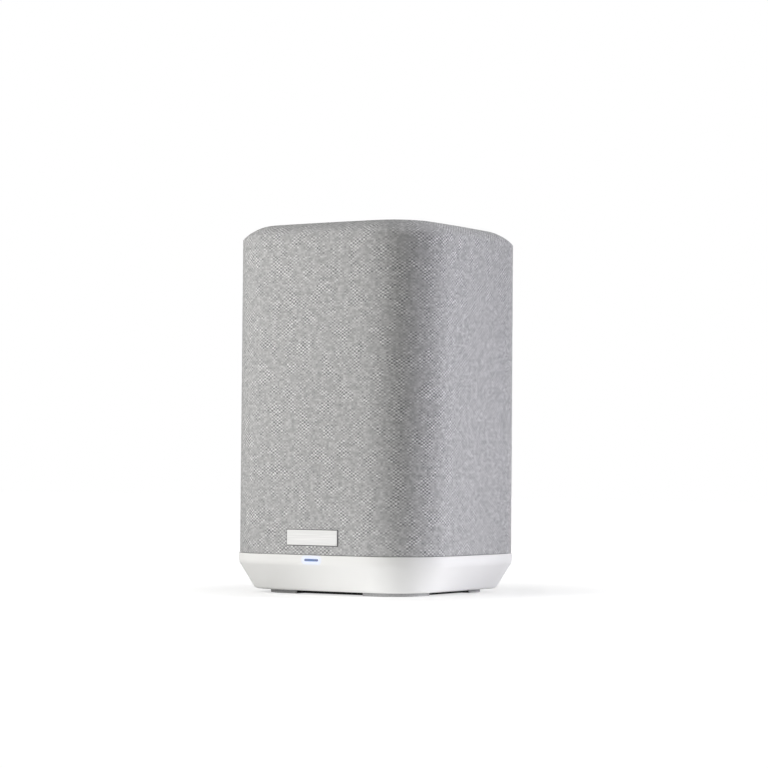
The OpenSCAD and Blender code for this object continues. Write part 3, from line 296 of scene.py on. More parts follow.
# The roll is a superellipse: inset = w (1 - cos(a)^p), z = low + h sin(a)^p.
cover_rows += [(roll_w * (1 - max(math.cos(a), 0) ** roll_power),
                roll_z + roll_h * math.sin(a) ** roll_power) for a in arc]
cover_rows += [(roll_w + (lip_inset - roll_w) * t, tall) for t in (0.5, 1.0)]
cover = swept("knitted_cover", cover_rows, False)

# The back of the cover is cut out round the connector recess and the mounting thread.
middle = np.zeros(len(cover.data.polygons) * 3)
cover.data.polygons.foreach_get("center", middle)
middle = middle.reshape(-1, 3)
rear = middle[:, 1] > half - 2 * mm
off_x, up_z = np.abs(middle[:, 0]), middle[:, 2]
recess_cut = (off_x < corner_at) & (up_z > recess_z[0]) & (up_z < recess_z[1])
thread_cut = (off_x < thread_r + 0.01 * mm) & (up_z > thread_z[0]) & (up_z < thread_z[1])
bm = bmesh.new()
bm.from_mesh(cover.data)
bm.faces.ensure_lookup_table()
cut = np.nonzero(rear & (recess_cut | thread_cut))[0]
bmesh.ops.delete(bm, geom=[bm.faces[k] for k in cut], context="FACES")
bm.to_mesh(cover.data)
bm.free()
thickness = cover.modifiers.new("cloth", "SOLIDIFY")
thickness.thickness = 0.25 * mm
thickness.offset = -1


def new_material(name, inputs):
    """A material with one Principled shader. inputs are the values set on the shader's own sockets."""
    made = bpy.data.materials.new(name)
    made.use_nodes = True
    made.node_tree.nodes.clear()
    shader = add(made.node_tree, "ShaderNodeBsdfPrincipled", {}, inputs)
    add(made.node_tree, "ShaderNodeOutputMaterial", {}, {"Surface": shader.outputs[0]})
    return made, made.node_tree, shader


# Melange polyester weave: pale and dark yarns cross in a quincunx, 1.2 mm apart round the column
# and 0.85 mm up it, so the eye sees fine diagonal rows of light and dark dots, rough and without
# shine, with slubs a few millimetres long and patches where the dots fade. Real yarns are about
# half as wide; they are drawn as coarse as they need to show.
weave, tree, shader = new_material("melange_polyester_weave", {
    "Roughness": 0.92, "Specular IOR Level": 0.05})
warp_cell = 1.17 * mm
weft_cell = 0.85 * mm
yarn_drift = 1.1 * mm
place = add(tree, "ShaderNodeUVMap", {"uv_map": "cloth"}, {})
wander = add(tree, "ShaderNodeTexNoise", {"noise_dimensions": "2D"},
             {"Vector": place.outputs[0], "Scale": 320.0, "Detail": 2.0})
drift = add(tree, "ShaderNodeVectorMath", {"operation": "SUBTRACT"},
            {0: wander.outputs["Color"], 1: (0.5, 0.5, 0.5)})
drift = add(tree, "ShaderNodeVectorMath", {"operation": "SCALE"}, {0: drift.outputs[0], "Scale": yarn_drift})
drawn = add(tree, "ShaderNodeVectorMath", {"operation": "ADD"}, {0: place.outputs[0], 1: drift.outputs[0]})
cells = add(tree, "ShaderNodeVectorMath", {"operation": "MULTIPLY"},
            {0: drawn.outputs[0], 1: (1 / warp_cell, 1 / weft_cell, 0)})
phase = add(tree, "ShaderNodeVectorMath", {"operation": "SCALE"}, {0: cells.outputs[0], "Scale": math.pi})
phase = add(tree, "ShaderNodeVectorMath", {"operation": "SINE"}, {0: phase.outputs[0]})
split = add(tree, "ShaderNodeSeparateXYZ", {}, {0: phase.outputs[0]})
cross = add(tree, "ShaderNodeMath", {"operation": "MULTIPLY"}, {0: split.outputs[0], 1: split.outputs[1]})
yarn = add(tree, "ShaderNodeVectorMath", {"operation": "FLOOR"}, {0: cells.outputs[0]})
yarn = add(tree, "ShaderNodeTexWhiteNoise", {"noise_dimensions": "2D"}, {"Vector": yarn.outputs[0]})
patch = add(tree, "ShaderNodeTexNoise", {"noise_dimensions": "2D"},
            {"Vector": place.outputs[0], "Scale": 130.0, "Detail": 3.0})
contrast = add(tree, "ShaderNodeMapRange", {},
               {"Value": patch.outputs[0], "From Min": 0.40, "From Max": 0.68,
                "To Min": 0.04, "To Max": 0.42})
figure = add(tree, "ShaderNodeMath", {"operation": "MULTIPLY"}, {0: cross.outputs[0], 1: contrast.outputs[0]})
melange = add(tree, "ShaderNodeMapRange", {}, {"Value": yarn.outputs[0], "To Min": -0.10, "To Max": 0.10})
slub = add(tree, "ShaderNodeMapping", {}, {"Vector": place.outputs[0], "Scale": (330.0, 460.0, 1.0)})
slub = add(tree, "ShaderNodeTexNoise", {"noise_dimensions": "2D"},
           {"Vector": slub.outputs[0], "Scale": 1.0, "Detail": 2.0})
slub = add(tree, "ShaderNodeMapRange", {},
           {"Value": slub.outputs[0], "From Min": 0.3, "From Max": 0.7, "To Min": 0.42, "To Max": 0.58})
tone = add(tree, "ShaderNodeMath", {"operation": "ADD"}, {0: figure.outputs[0], 1: melange.outputs[0]})
tone = add(tree, "ShaderNodeMath", {"operation": "ADD"}, {0: tone.outputs[0], 1: slub.outputs[0]})
dye = add(tree, "ShaderNodeValToRGB", {}, {"Fac": tone.outputs[0]})
dye.color_ramp.elements[0].color = linear("#6F6F72")
dye.color_ramp.elements[1].color = linear("#F0F0F0")
middle_dye = dye.color_ramp.elements.new(0.5)
middle_dye.color = linear("#B5B5B6")
tree.links.new(dye.outputs[0], shader.inputs["Base Color"])
relief = add(tree, "ShaderNodeBump", {}, {"Height": cross.outputs[0], "Strength": 0.2, "Distance": 0.1 * mm})
tree.links.new(relief.outputs[0], shader.inputs["Normal"])
cover.data.materials.append(weave)
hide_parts("fabric_sleeve")
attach(cover, "housing")

# ---- Base --------------------------------------------------------------------------------------
# White ABS shell moulded in one piece: a short upright lip under the cover, a soft curve, then a
# long taper down to the feet. Its skin is a fine spark-eroded texture that looks evenly satin.

light_low, light_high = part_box("status_light_pipe")
light_w = light_high.x - light_low.x
light_h = light_high.z - light_low.z
light_z = (light_low.z + light_high.z) / 2 + 0.2 * mm
foot_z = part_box("base_shell")[0].z
base_wall = 2.4 * mm
lip_proud = 0.65 * mm
lip_z = 17.2 * mm
lip_round = 0.35 * mm
curve_r = 5 * mm
taper = math.radians(31.7)
under_r = 3 * mm
sole_in = 15.7 * mm
lip_arc = np.linspace(0, math.pi / 2, 6)
bend = np.linspace(0, taper, 13)
outer = [(curve_r * (1 - math.cos(a)) - lip_proud, lip_z - curve_r * math.sin(a)) for a in bend]
meet = outer[-1][0] + (outer[-1][1] - foot_z) * math.tan(taper)
tangent = under_r * math.tan((math.pi / 2 - taper) / 2)
start = (meet - tangent * math.sin(taper), foot_z + tangent * math.cos(taper))
under = [(meet + tangent - under_r * math.sin(a), foot_z + under_r - under_r * math.cos(a))
         for a in np.linspace(0, math.pi / 2 - taper, 11)]
base_rows = [(sole_in, foot_z)] + under
base_rows += [(outer[-1][0] + (start[0] - outer[-1][0]) * t, outer[-1][1] + (start[1] - outer[-1][1]) * t)
              for t in (0.75, 0.5, 0.25)]
base_rows += outer[::-1]
base_rows += [(lip_round * (1 - math.cos(a)) - lip_proud, seam_z - lip_round + lip_round * math.sin(a))
              for a in lip_arc]
base_rows += [(base_wall, seam_z), (base_wall, lip_z), (outer[-1][0] + base_wall, outer[-1][1]),
              (sole_in, foot_z + base_wall)]
base = swept("moulded_base", base_rows, True)

# Satin white ABS: the eye sees an even, slightly warm white with a broad dull highlight. The
# spark-eroded grain is about 0.25 mm across and only just breaks up the highlight.
white_abs, tree, shader = new_material("satin_white_abs", {
    "Roughness": 0.6, "IOR": 1.53, "Specular IOR Level": 0.12})
place = add(tree, "ShaderNodeTexCoord", {}, {})
grain = add(tree, "ShaderNodeTexNoise", {},
            {"Vector": place.outputs["Object"], "Scale": 4000.0, "Detail": 2.0})
flow = add(tree, "ShaderNodeTexNoise", {}, {"Vector": place.outputs["Object"], "Scale": 35.0, "Detail": 2.0})
tint = add(tree, "ShaderNodeValToRGB", {}, {"Fac": flow.outputs[0]})
tint.color_ramp.elements[0].position = 0.3
tint.color_ramp.elements[0].color = linear("#F3F3F2")
tint.color_ramp.elements[1].position = 0.7
tint.color_ramp.elements[1].color = linear("#F6F6F5")
tree.links.new(tint.outputs[0], shader.inputs["Base Color"])
relief = add(tree, "ShaderNodeBump", {},
             {"Height": grain.outputs[0], "Strength": 0.12, "Distance": 0.03 * mm})
tree.links.new(relief.outputs[0], shader.inputs["Normal"])
# The plastic round the status light glows a little in its blue, less with the distance from it:
# max(|x| - half the straight part, 0) and z - its height give that distance.
halo_r = 3.2 * mm
spot = add(tree, "ShaderNodeVectorMath", {"operation": "SUBTRACT"},
           {0: place.outputs["Object"], 1: (0, -half - lip_proud, light_z)})
spot = add(tree, "ShaderNodeVectorMath", {"operation": "ABSOLUTE"}, {0: spot.outputs[0]})
spot = add(tree, "ShaderNodeVectorMath", {"operation": "SUBTRACT"},
           {0: spot.outputs[0], 1: ((light_w - light_h) / 2, 0, 0)})
spot = add(tree, "ShaderNodeVectorMath", {"operation": "MAXIMUM"}, {0: spot.outputs[0], 1: (0, 0, 0)})
gap = add(tree, "ShaderNodeVectorMath", {"operation": "LENGTH"}, {0: spot.outputs[0]})
halo = add(tree, "ShaderNodeMapRange", {"interpolation_type": "SMOOTHSTEP"},
           {"Value": gap.outputs["Value"], "From Min": light_h / 2, "From Max": halo_r,
            "To Min": 0.28, "To Max": 0.0})
shader.inputs["Emission Color"].default_value = (0.06, 0.3, 1, 1)
tree.links.new(halo.outputs[0], shader.inputs["Emission Strength"])
base.data.materials.append(white_abs)
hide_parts("base_shell")
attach(base, "housing")

# ---- Status light ------------------------------------------------------------------------------
# Clear acrylic light pipe, a slot with round ends pressed into the lip of the base. A blue lamp
# behind it makes it glow, a little stronger in the middle.


def slot_outline(w, h, steps):
    """Points round a slot of width w and height h with round ends, counterclockwise from +x."""
    r = h / 2
    a = np.concatenate([np.linspace(-math.pi / 2, math.pi / 2, steps),
                        np.linspace(math.pi / 2, math.pi * 1.5, steps)])
    shift = np.concatenate([np.full(steps, w / 2 - r), np.full(steps, r - w / 2)])
    return np.stack([shift + r * np.cos(a), r * np.sin(a)], 1)


def raised_plate(name, rim, steps, at_z):
    """A plate standing out of the front: the rim is shrunk towards its own middle row by row.
    Each step (inset, y) moves the rim in by inset and stands it at depth y; both ends are filled."""
    size = np.abs(rim).max(0)
    rows = [np.stack([rim[:, 0] * (1 - s / size[0]), np.full(len(rim), y),
                      at_z + rim[:, 1] * (1 - s / size[1])], 1) for s, y in steps]
    n = len(rim)
    verts = np.concatenate(rows)
    faces = [[i * n + j, i * n + (j + 1) % n, (i + 1) * n + (j + 1) % n, (i + 1) * n + j]
             for i in range(len(rows) - 1) for j in range(n)]
    faces.append([(len(rows) - 1) * n + j for j in range(n)])
    faces.append(list(range(n))[::-1])
    return mesh_piece(name, verts, faces)


lip_y = -half - lip_proud
lens_steps = [(0.0, -half + 0.9 * mm), (0.0, lip_y - 0.02 * mm), (0.06 * mm, lip_y - 0.06 * mm),
              (0.2 * mm, lip_y - 0.08 * mm)]
status_lens = raised_plate("status_light_lens", slot_outline(light_w, light_h, 16), lens_steps, light_z)
# Clear acrylic lit from behind in blue: the eye sees a saturated blue bar with a paler core.
blue_acrylic, tree, shader = new_material("lit_blue_acrylic", {
    "Roughness": 0.3, "IOR": 1.49, "Specular IOR Level": 0.3, "Emission Strength": 0.12})
place = add(tree, "ShaderNodeTexCoord", {}, {})
split = add(tree, "ShaderNodeSeparateXYZ", {}, {0: place.outputs["Object"]})
away = add(tree, "ShaderNodeMath", {"operation": "ABSOLUTE"}, {0: split.outputs[0]})
core = add(tree, "ShaderNodeMapRange", {},
           {"Value": away.outputs[0], "From Min": 0.0, "From Max": light_w / 2})
glow_ramp = add(tree, "ShaderNodeValToRGB", {}, {"Fac": core.outputs[0]})
glow_ramp.color_ramp.elements[0].color = linear("#5C7BA9")
glow_ramp.color_ramp.elements[1].color = linear("#6F779B")
tree.links.new(glow_ramp.outputs[0], shader.inputs["Base Color"])
tree.links.new(glow_ramp.outputs[0], shader.inputs["Emission Color"])
status_lens.data.materials.append(blue_acrylic)
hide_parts("status_light_pipe")
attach(status_lens, "housing")

# ---- Front plate -------------------------------------------------------------------------------
# Blank plate of stamped aluminium, bonded low on the cover, with a dark rim of painted shade round it.
# Its face is satin, with a narrow bevel all round; nothing is printed on it.

plate_low, plate_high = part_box("badge")
plate_w = plate_high.x - plate_low.x
plate_h = plate_high.z - plate_low.z
plate_z = (plate_low.z + plate_high.z) / 2
corner = 0.35 * mm
quarter = np.linspace(0, math.pi / 2, 5)
rim = np.concatenate([
    np.stack([sx * (plate_w / 2 - corner) + corner * np.cos(q0 + quarter),
              sz * (plate_h / 2 - corner) + corner * np.sin(q0 + quarter)], 1)
    for sx, sz, q0 in ((1, -1, -math.pi / 2), (1, 1, 0), (-1, 1, math.pi / 2), (-1, -1, math.pi))])
front_y = plate_low.y
plate_steps = [(0.0, -half + 1.0 * mm), (0.0, front_y + 0.2 * mm), (0.05 * mm, front_y + 0.1 * mm),
               (0.3 * mm, front_y), (0.5 * mm, front_y)]
front_plate = raised_plate("front_plate", rim, plate_steps, plate_z)
# The rim of painted shade round the plate: its outline grown by about 0.35 mm, just proud of the cloth.
shade_rim_out = -0.35 * mm
shade_rim_steps = [(shade_rim_out, -half + 0.9 * mm), (shade_rim_out, -half - 0.03 * mm),
              (shade_rim_out + 0.1 * mm, -half - 0.08 * mm)]
plate_shade_rim = raised_plate("plate_painted_shade_rim", rim, shade_rim_steps, plate_z)


def mottled(name, inputs, scale, detail, dark, pale, ends=(0, 1), distortion=0, relief=None, rub=None):
    """A material whose base colour runs from dark to pale with a noise of scale cells a metre; ends
    are the noise values where the two colours start. relief is a bump's strength and depth in
    metres, and rub the roughness where the noise is 0 and where it is 1."""
    made, tree, shader = new_material(name, inputs)
    place = add(tree, "ShaderNodeTexCoord", {}, {})
    noise = add(tree, "ShaderNodeTexNoise", {},
                {"Vector": place.outputs["Object"], "Scale": scale, "Detail": detail,
                 "Distortion": distortion})
    tint = add(tree, "ShaderNodeValToRGB", {}, {"Fac": noise.outputs[0]})
    for stop, position, colour in zip(tint.color_ramp.elements, ends, (dark, pale)):
        stop.position = position
        stop.color = linear(colour)
    tree.links.new(tint.outputs[0], shader.inputs["Base Color"])
    if relief:
        bump = add(tree, "ShaderNodeBump", {},
                   {"Height": noise.outputs[0], "Strength": relief[0], "Distance": relief[1]})
        tree.links.new(bump.outputs[0], shader.inputs["Normal"])
    if rub:
        worn = add(tree, "ShaderNodeMapRange", {},
                   {"Value": noise.outputs[0], "To Min": rub[0], "To Max": rub[1]})
        tree.links.new(worn.outputs[0], shader.inputs["Roughness"])
    return made


# A dark grey rim about 0.35 mm wider than the plate, just out of the cloth: painted shade, the dark hairline
# round the plate's edge.
painted_shade_grey = mottled("painted_shade_rim_grey", {"Roughness": 0.9, "Specular IOR Level": 0.1},
               3000, 3, "#5C5C5D", "#828283")
plate_shade_rim.data.materials.append(painted_shade_grey)
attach(plate_shade_rim, "housing")
# Satin anodised aluminium: pale silver, fine lines along its length about 0.15 mm apart.
satin_aluminium, tree, shader = new_material("satin_anodised_aluminium", {
    "Metallic": 0.15, "Roughness": 0.55, "Specular IOR Level": 0.3})
place = add(tree, "ShaderNodeTexCoord", {}, {})
lines = add(tree, "ShaderNodeMapping", {"vector_type": "POINT"},
            {"Vector": place.outputs["Object"], "Scale": (60.0, 60.0, 3500.0)})
lines = add(tree, "ShaderNodeTexNoise", {}, {"Vector": lines.outputs[0], "Scale": 1.0, "Detail": 3.0})
tint = add(tree, "ShaderNodeValToRGB", {}, {"Fac": lines.outputs[0]})
tint.color_ramp.elements[0].position = 0.25
tint.color_ramp.elements[0].color = linear("#D4D4D4")
tint.color_ramp.elements[1].position = 0.75
tint.color_ramp.elements[1].color = linear("#E6E6E6")
tree.links.new(tint.outputs[0], shader.inputs["Base Color"])
relief = add(tree, "ShaderNodeBump", {},
             {"Height": lines.outputs[0], "Strength": 0.1, "Distance": 0.02 * mm})
tree.links.new(relief.outputs[0], shader.inputs["Normal"])
front_plate.data.materials.append(satin_aluminium)
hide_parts("badge")
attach(front_plate, "housing")

# ---- Top trim ring and touch panel -------------------------------------------------------------
# A narrow satin ring clamps the turned-in cloth, and a thin white panel lies inside it. The panel
# is moulded in white ABS, dished in the middle so that a finger finds the keys.

ring_out = 15.15 * mm
ring_in = 16.95 * mm
ring_edge = 0.4 * mm
ring_foot = tall - 2.6 * mm
edge_z = tall - ring_edge
turn = np.linspace(0, math.pi / 2, 5)
ring_rows = [(ring_out, ring_foot)]
ring_rows += [(ring_out + ring_edge * (1 - math.cos(a)), edge_z + ring_edge * math.sin(a)) for a in turn]
ring_rows += [(ring_in - ring_edge + ring_edge * math.sin(a), edge_z + ring_edge * math.cos(a)) for a in turn]
ring_rows += [(ring_in, ring_foot)]
trim_ring = swept("top_trim_ring_bead", ring_rows, True)
trim_ring.data.materials.append(white_abs)
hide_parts("top_trim_ring")
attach(trim_ring, "housing")

panel_low, panel_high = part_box("top_panel")
panel_out = 17.1 * mm
panel_edge = 0.35 * mm
panel_top = panel_high.z
dish_floor = panel_top - 0.93 * mm
dish_r = (31 * mm, 47 * mm)


def dished_panel(name):
    """The panel's face: rings run from the rim to the middle, each a share t of the rim's outline,
    at the height floor + (top - floor) * smoothstep of the distance from the middle between the
    two radii of the dish. The rim turns down over a small radius to a flat underside."""
    rim_xy = centre + (radius - panel_out)[:, None] * direction
    n = len(rim_xy)
    rows = [np.column_stack([rim_xy, np.full(n, panel_low.z)])]
    for a in np.linspace(0, math.pi / 2, 5):
        inner = centre + (radius - panel_out - panel_edge * (1 - math.cos(a)))[:, None] * direction
        rows.append(np.column_stack([inner, np.full(n, panel_top - panel_edge + panel_edge * math.sin(a))]))
    inner = centre + (radius - panel_out - panel_edge)[:, None] * direction
    for t in np.linspace(1, 0.02, 30)[1:]:
        xy = inner * t
        far = np.linalg.norm(xy, axis=1)
        s = np.clip((far - dish_r[0]) / (dish_r[1] - dish_r[0]), 0, 1)
        rows.append(np.column_stack([xy, dish_floor + (panel_top - dish_floor) * s * s * (3 - 2 * s)]))
    verts = np.concatenate(rows + [[[0, 0, dish_floor]], [[0, 0, panel_low.z]]])
    m = len(rows)
    i, j = np.meshgrid(np.arange(m - 1), np.arange(n), indexing="ij")
    i, j = i.ravel(), j.ravel()
    j1 = (j + 1) % n
    quads = np.stack([i * n + j, i * n + j1, (i + 1) * n + j1, (i + 1) * n + j], 1).tolist()
    k = np.arange(n)
    k1 = (k + 1) % n
    top = np.stack([(m - 1) * n + k, (m - 1) * n + k1, np.full(n, m * n)], 1).tolist()
    under = np.stack([k1, k, np.full(n, m * n + 1)], 1).tolist()
    return mesh_piece(name, verts, quads + top + under)


touch_panel = dished_panel("touch_panel_face")
# Fine matt white ABS: a shade softer than the base, so finger marks don't show.
panel_abs = mottled("matt_white_abs", {"Roughness": 0.5, "IOR": 1.53, "Specular IOR Level": 0.4},
                    3000, 2, "#E4E4E3", "#EBEBEA", ends=(0.3, 0.7), relief=(0.15, 0.03 * mm))
touch_panel.data.materials.append(panel_abs)
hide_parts("top_panel")
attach(touch_panel, "housing")

# ---- Signs and microphone ports ----------------------------------------------------------------
# The signs are the tips of a clear light guide that fill cut-outs in the panel flush, and glow
# when touched. Two drilled ports let the microphones hear.


def dress(names, material):
    """Gives CAD nodes a material through their own material slots."""
    for name in names:
        for own in cad[name].material_slots:
            own.material = material


# Milky polycarbonate, unlit: a cool pale grey, a little glossier than the panel round it.
milky_guide = mottled("milky_polycarbonate", {"Roughness": 0.3, "IOR": 1.58}, 400, 2, "#8E9296", "#A3A7AB")
dress(["legend_light_guide"], milky_guide)

port_r = 0.7 * mm
port_at = (9 * mm, 27 * mm)
port_sides = 24
port_rows = ((port_r + 0.25 * mm, -0.2 * mm), (port_r + 0.25 * mm, 0.01 * mm), (port_r + 0.1 * mm, 0.04 * mm),
             (port_r, 0.02 * mm), (port_r * 0.9, 0.005 * mm))
ring = np.linspace(0, 2 * math.pi, port_sides, endpoint=False)
verts, faces = [], []
for side in (-1, 1):
    low = len(verts) * port_sides
    verts += [np.column_stack([side * port_at[0] + r * np.cos(ring), port_at[1] + r * np.sin(ring),
                               np.full(port_sides, dish_floor + z)]) for r, z in port_rows]
    for row in range(len(port_rows) - 1):
        a = low + row * port_sides
        faces += [[a + k, a + (k + 1) % port_sides, a + port_sides + (k + 1) % port_sides, a + port_sides + k]
                  for k in range(port_sides)]
    faces.append([low + (len(port_rows) - 1) * port_sides + k for k in range(port_sides)])
    faces.append([low + k for k in range(port_sides)][::-1])
ports = mesh_piece("microphone_ports", np.concatenate(verts), faces)
# Black acoustic mesh behind a drilled rim: the eye sees two dark pinpricks.
mesh_black, tree, shader = new_material("black_acoustic_mesh", {"Roughness": 0.8})
place = add(tree, "ShaderNodeTexCoord", {}, {})
cells = add(tree, "ShaderNodeTexVoronoi", {}, {"Vector": place.outputs["Object"], "Scale": 5000.0})
tint = add(tree, "ShaderNodeValToRGB", {}, {"Fac": cells.outputs[0]})
tint.color_ramp.elements[0].color = linear("#101011")
tint.color_ramp.elements[1].color = linear("#3A3A3C")
tree.links.new(tint.outputs[0], shader.inputs["Base Color"])
ports.data.materials.append(mesh_black)
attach(ports, "housing")

# ---- Inner sleeve, carriers, driver box and recess ---------------------------------------------
# Injection-moulded ABS parts that screw and clip together behind the cover. Only the recess at
# the back is on show; its skin is spark-eroded.

# Textured black ABS: a dull near-black that breaks every highlight into a fine grain.
black_abs = mottled("textured_black_abs", {"Roughness": 0.55, "IOR": 1.53}, 2600, 3, "#1B1B1C", "#2A2A2C",
                    ends=(0.3, 0.7), relief=(0.25, 0.05 * mm))
dress(["bottom_plate", "top_carrier", "cabinet_body", "cabinet_front", "bass_port", "rear_panel",
       "recess_frame", "reset_plunger", "power_inlet", "aux_jack", "tweeter_faceplate"], black_abs)

# The sleeve behind the cloth is the same plastic in mid grey, so that its holes don't show through.
grey_abs = mottled("matt_grey_abs", {"Roughness": 0.65, "IOR": 1.53}, 2200, 2, "#6C6C6E", "#87878A",
                   relief=(0.2, 0.04 * mm))
dress(["grille_frame", "rear_frame"], grey_abs)

# ---- Feet and seals ----------------------------------------------------------------------------
# Four soft corner feet moulded on one web and pressed into the base, and the sealing rings and
# the surround of the driver box.

# Silicone rubber: light grey, dull and a little dusty.
rubber, tree, shader = new_material("grey_silicone_rubber", {"Roughness": 0.75, "Specular IOR Level": 0.3})
place = add(tree, "ShaderNodeTexCoord", {}, {})
dust = add(tree, "ShaderNodeTexNoise", {}, {"Vector": place.outputs["Object"], "Scale": 900.0, "Detail": 4.0})
tint = add(tree, "ShaderNodeValToRGB", {}, {"Fac": dust.outputs[0]})
tint.color_ramp.elements[0].position = 0.3
tint.color_ramp.elements[0].color = linear("#B9B9BA")
tint.color_ramp.elements[1].position = 0.7
tint.color_ramp.elements[1].color = linear("#C9C9CA")
# The web between the feet, where x or y is less than half the gap, is near-black: dark plastic, and painted
# shade for the deep gap under the base.
foot_gap_half = 19.95 * mm
spot = add(tree, "ShaderNodeVectorMath", {"operation": "ABSOLUTE"}, {0: place.outputs["Object"]})
spot = add(tree, "ShaderNodeSeparateXYZ", {}, {0: spot.outputs[0]})
nearest = add(tree, "ShaderNodeMath", {"operation": "MINIMUM"}, {0: spot.outputs[0], 1: spot.outputs[1]})
pad = add(tree, "ShaderNodeMath", {"operation": "GREATER_THAN"}, {0: nearest.outputs[0], 1: foot_gap_half})
pads_and_shaded_web = add(tree, "ShaderNodeMix", {"data_type": "RGBA"}, {})
# Near-black web colour: partly painted shade in the gap under the base.
pads_and_shaded_web.inputs[6].default_value = linear("#0C0C0D")
tree.links.new(pad.outputs[0], pads_and_shaded_web.inputs[0])
tree.links.new(tint.outputs[0], pads_and_shaded_web.inputs[7])
tree.links.new(pads_and_shaded_web.outputs[2], shader.inputs["Base Color"])
relief = add(tree, "ShaderNodeBump", {},
             {"Height": dust.outputs[0], "Strength": 0.15, "Distance": 0.05 * mm})
tree.links.new(relief.outputs[0], shader.inputs["Normal"])
dress(["foot_ring"], rubber)

# Butyl rubber: black with a soft wide highlight.
black_rubber = mottled("black_butyl_rubber", {"Roughness": 0.6, "Specular IOR Level": 0.35},
                       700, 4, "#0F0F10", "#232324")
dress(["woofer_surround", "woofer_gasket", "cabinet_gasket"], black_rubber)

# ---- Buttons and rear trim ---------------------------------------------------------------------
# Two moulded keys that spring back, guided in the recess panel, and the white ABS ring clipped
# round the mounting thread.

# Smooth light grey ABS, glossier than the recess round it.
key_abs = mottled("light_grey_abs", {"Roughness": 0.4, "IOR": 1.53}, 3000, 2, "#A6A6A7", "#B6B6B7")
dress(["connect_button", "pairing_button"], key_abs)
dress(["mount_trim"], white_abs)

# ---- Metal parts -------------------------------------------------------------------------------
# Pressed and plated steel for sockets, screens, screws, pins and the drivers' magnet plates, a
# brass insert screwed into the sleeve, and an extruded cooler on the main board.

# Zinc plate: pale cool grey, with cloudy patches of more and less shine.
plated_steel = mottled("zinc_plated_steel", {"Metallic": 1.0}, 600, 4, "#9C9EA1", "#C4C6C8", rub=(0.28, 0.5))
dress(["network_jack", "media_port", "shield_can", "inlet_pins", "driver_screws", "board_screws",
       "base_screws", "cabinet_screws", "woofer_top_plate", "woofer_yoke", "tweeter_pole_plate",
       "tweeter_yoke"], plated_steel)

# Turned brass: warm yellow with a clear shine.
brass = mottled("turned_brass", {"Metallic": 1.0, "Roughness": 0.3}, 1500, 2, "#A98A4A", "#CDB06E")
dress(["mount_insert"], brass)

# Extruded aluminium: dull silver, with die lines along its height.
heatsink, tree, shader = new_material("extruded_aluminium", {"Metallic": 1.0})
place = add(tree, "ShaderNodeTexCoord", {}, {})
lines = add(tree, "ShaderNodeMapping", {},
            {"Vector": place.outputs["Object"], "Scale": (2500.0, 2500.0, 80.0)})
lines = add(tree, "ShaderNodeTexNoise", {}, {"Vector": lines.outputs[0], "Scale": 1.0, "Detail": 2.0})
tint = add(tree, "ShaderNodeValToRGB", {}, {"Fac": lines.outputs[0]})
tint.color_ramp.elements[0].color = linear("#8D8F91")
tint.color_ramp.elements[1].color = linear("#B5B7B9")
rub = add(tree, "ShaderNodeMapRange", {}, {"Value": lines.outputs[0], "To Min": 0.35, "To Max": 0.55})
tree.links.new(tint.outputs[0], shader.inputs["Base Color"])
tree.links.new(rub.outputs[0], shader.inputs["Roughness"])
dress(["amp_heatsink"], heatsink)

# ---- Drivers -----------------------------------------------------------------------------------
# Woofer: stamped basket, ferrite ring, paper cone in a rubber roll, cloth spider, copper coil.
# Tweeter: silk dome glued to its roll, under a moulded face. Both are screwed to the driver box.

# Powder coat: black, with the fine orange peel of baked paint.
basket_paint = mottled("black_powder_coat", {"Roughness": 0.5}, 1200, 2, "#161617", "#262628",
                       relief=(0.3, 0.06 * mm))
dress(["woofer_basket"], basket_paint)

# Sintered ferrite: charcoal grey and chalky.
ferrite = mottled("sintered_ferrite", {"Roughness": 0.7}, 1800, 5, "#242426", "#414144")
dress(["woofer_magnet", "tweeter_magnet"], ferrite)

# Enamelled wire: reddish copper in close turns.
copper, tree, shader = new_material("enamelled_copper_wire", {"Metallic": 1.0, "Roughness": 0.35})
place = add(tree, "ShaderNodeTexCoord", {}, {})
turns = add(tree, "ShaderNodeTexWave", {"bands_direction": "Y"},
            {"Vector": place.outputs["Object"], "Scale": 320.0, "Distortion": 0.4})
tint = add(tree, "ShaderNodeValToRGB", {}, {"Fac": turns.outputs["Fac"]})
tint.color_ramp.elements[0].color = linear("#7A4526")
tint.color_ramp.elements[1].color = linear("#C98354")
tree.links.new(tint.outputs[0], shader.inputs["Base Color"])
dress(["woofer_coil", "tweeter_coil"], copper)

# Pressed pulp: soft black with short tangled fibres.
paper = mottled("pressed_paper_pulp", {"Roughness": 0.85}, 900, 6, "#1D1D1E", "#38383A",
                ends=(0.3, 0.7), distortion=1.5, relief=(0.4, 0.08 * mm))
dress(["woofer_cone", "woofer_dust_cap"], paper)

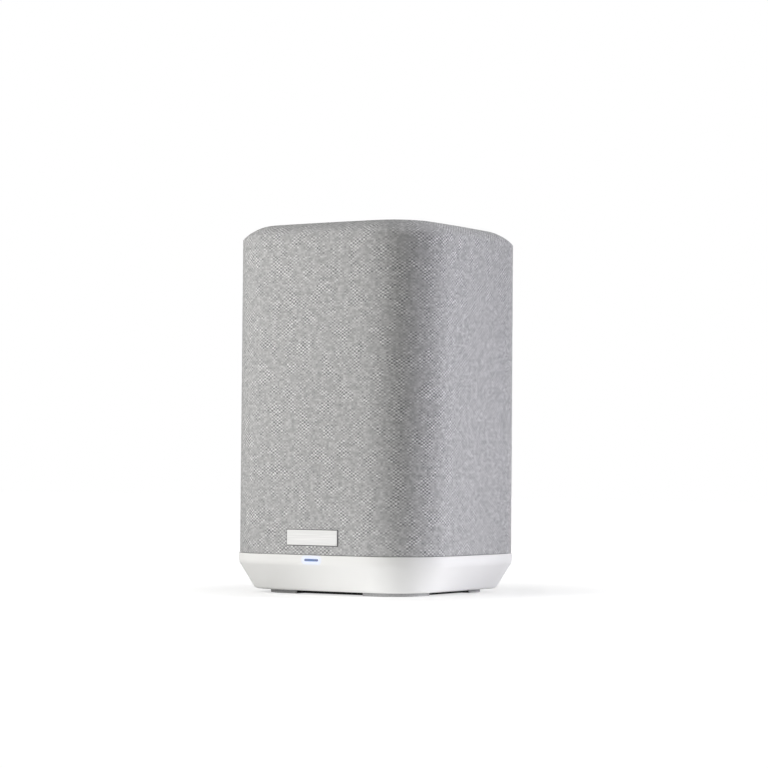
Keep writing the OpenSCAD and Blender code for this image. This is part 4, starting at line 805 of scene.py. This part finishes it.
# Cotton stiffened with phenolic resin: a tan open weave.
spider_cloth, tree, shader = new_material("phenolic_cotton", {"Roughness": 0.8})
place = add(tree, "ShaderNodeTexCoord", {}, {})
threads = add(tree, "ShaderNodeTexChecker", {}, {"Vector": place.outputs["Object"], "Scale": 2000.0,
                                                 "Color1": linear("#B89A5E"), "Color2": linear("#8C7340")})
tree.links.new(threads.outputs[0], shader.inputs["Base Color"])
dress(["woofer_spider"], spider_cloth)

# Silk under a clear coat: dark, with a faint sheen.
silk, tree, shader = new_material("coated_silk", {"Roughness": 0.55, "Sheen Weight": 0.2})
place = add(tree, "ShaderNodeTexCoord", {}, {})
threads = add(tree, "ShaderNodeTexChecker", {}, {"Vector": place.outputs["Object"], "Scale": 3000.0,
                                                 "Color1": linear("#2B2B2E"), "Color2": linear("#1C1C1E")})
tree.links.new(threads.outputs[0], shader.inputs["Base Color"])
dress(["tweeter_dome", "tweeter_surround"], silk)

# ---- Electronics and felt ----------------------------------------------------------------------
# Glass-epoxy boards screwed to the carrier and the frames, insulated leads between them, and felt
# glued in the driver box.

# Green solder mask over copper tracks, smooth and slightly glossy.
board, tree, shader = new_material("green_glass_epoxy", {"Roughness": 0.35, "IOR": 1.55})
place = add(tree, "ShaderNodeTexCoord", {}, {})
tracks = add(tree, "ShaderNodeTexBrick", {}, {"Vector": place.outputs["Object"], "Scale": 260.0,
                                              "Color1": linear("#1E5A38"), "Color2": linear("#236440"),
                                              "Mortar": linear("#2F7A50")})
tree.links.new(tracks.outputs[0], shader.inputs["Base Color"])
dress(["main_board", "power_board", "touch_board", "status_led_board"], board)

# Wool felt: mottled grey, dead matt, with fibres that stand out.
felt = mottled("grey_wool_felt", {"Roughness": 0.95, "Sheen Weight": 0.3}, 700, 6, "#6F6F70", "#A5A5A4",
               distortion=2.0, relief=(0.6, 0.2 * mm))
dress(["damping_pad"], felt)

# Soft PVC, half glossy: red for the speaker leads, black for the mains, pale grey for the ribbon.
for lead, dark, pale in (("speaker_leads", "#7E1D18", "#9A2A22"), ("mains_lead", "#1D1D1E", "#2E2E30"),
                         ("ribbon_cable", "#A9A9AA", "#C6C6C7")):
    dress([lead], mottled("pvc_jacket_" + lead, {"Roughness": 0.45}, 500, 2, dark, pale))
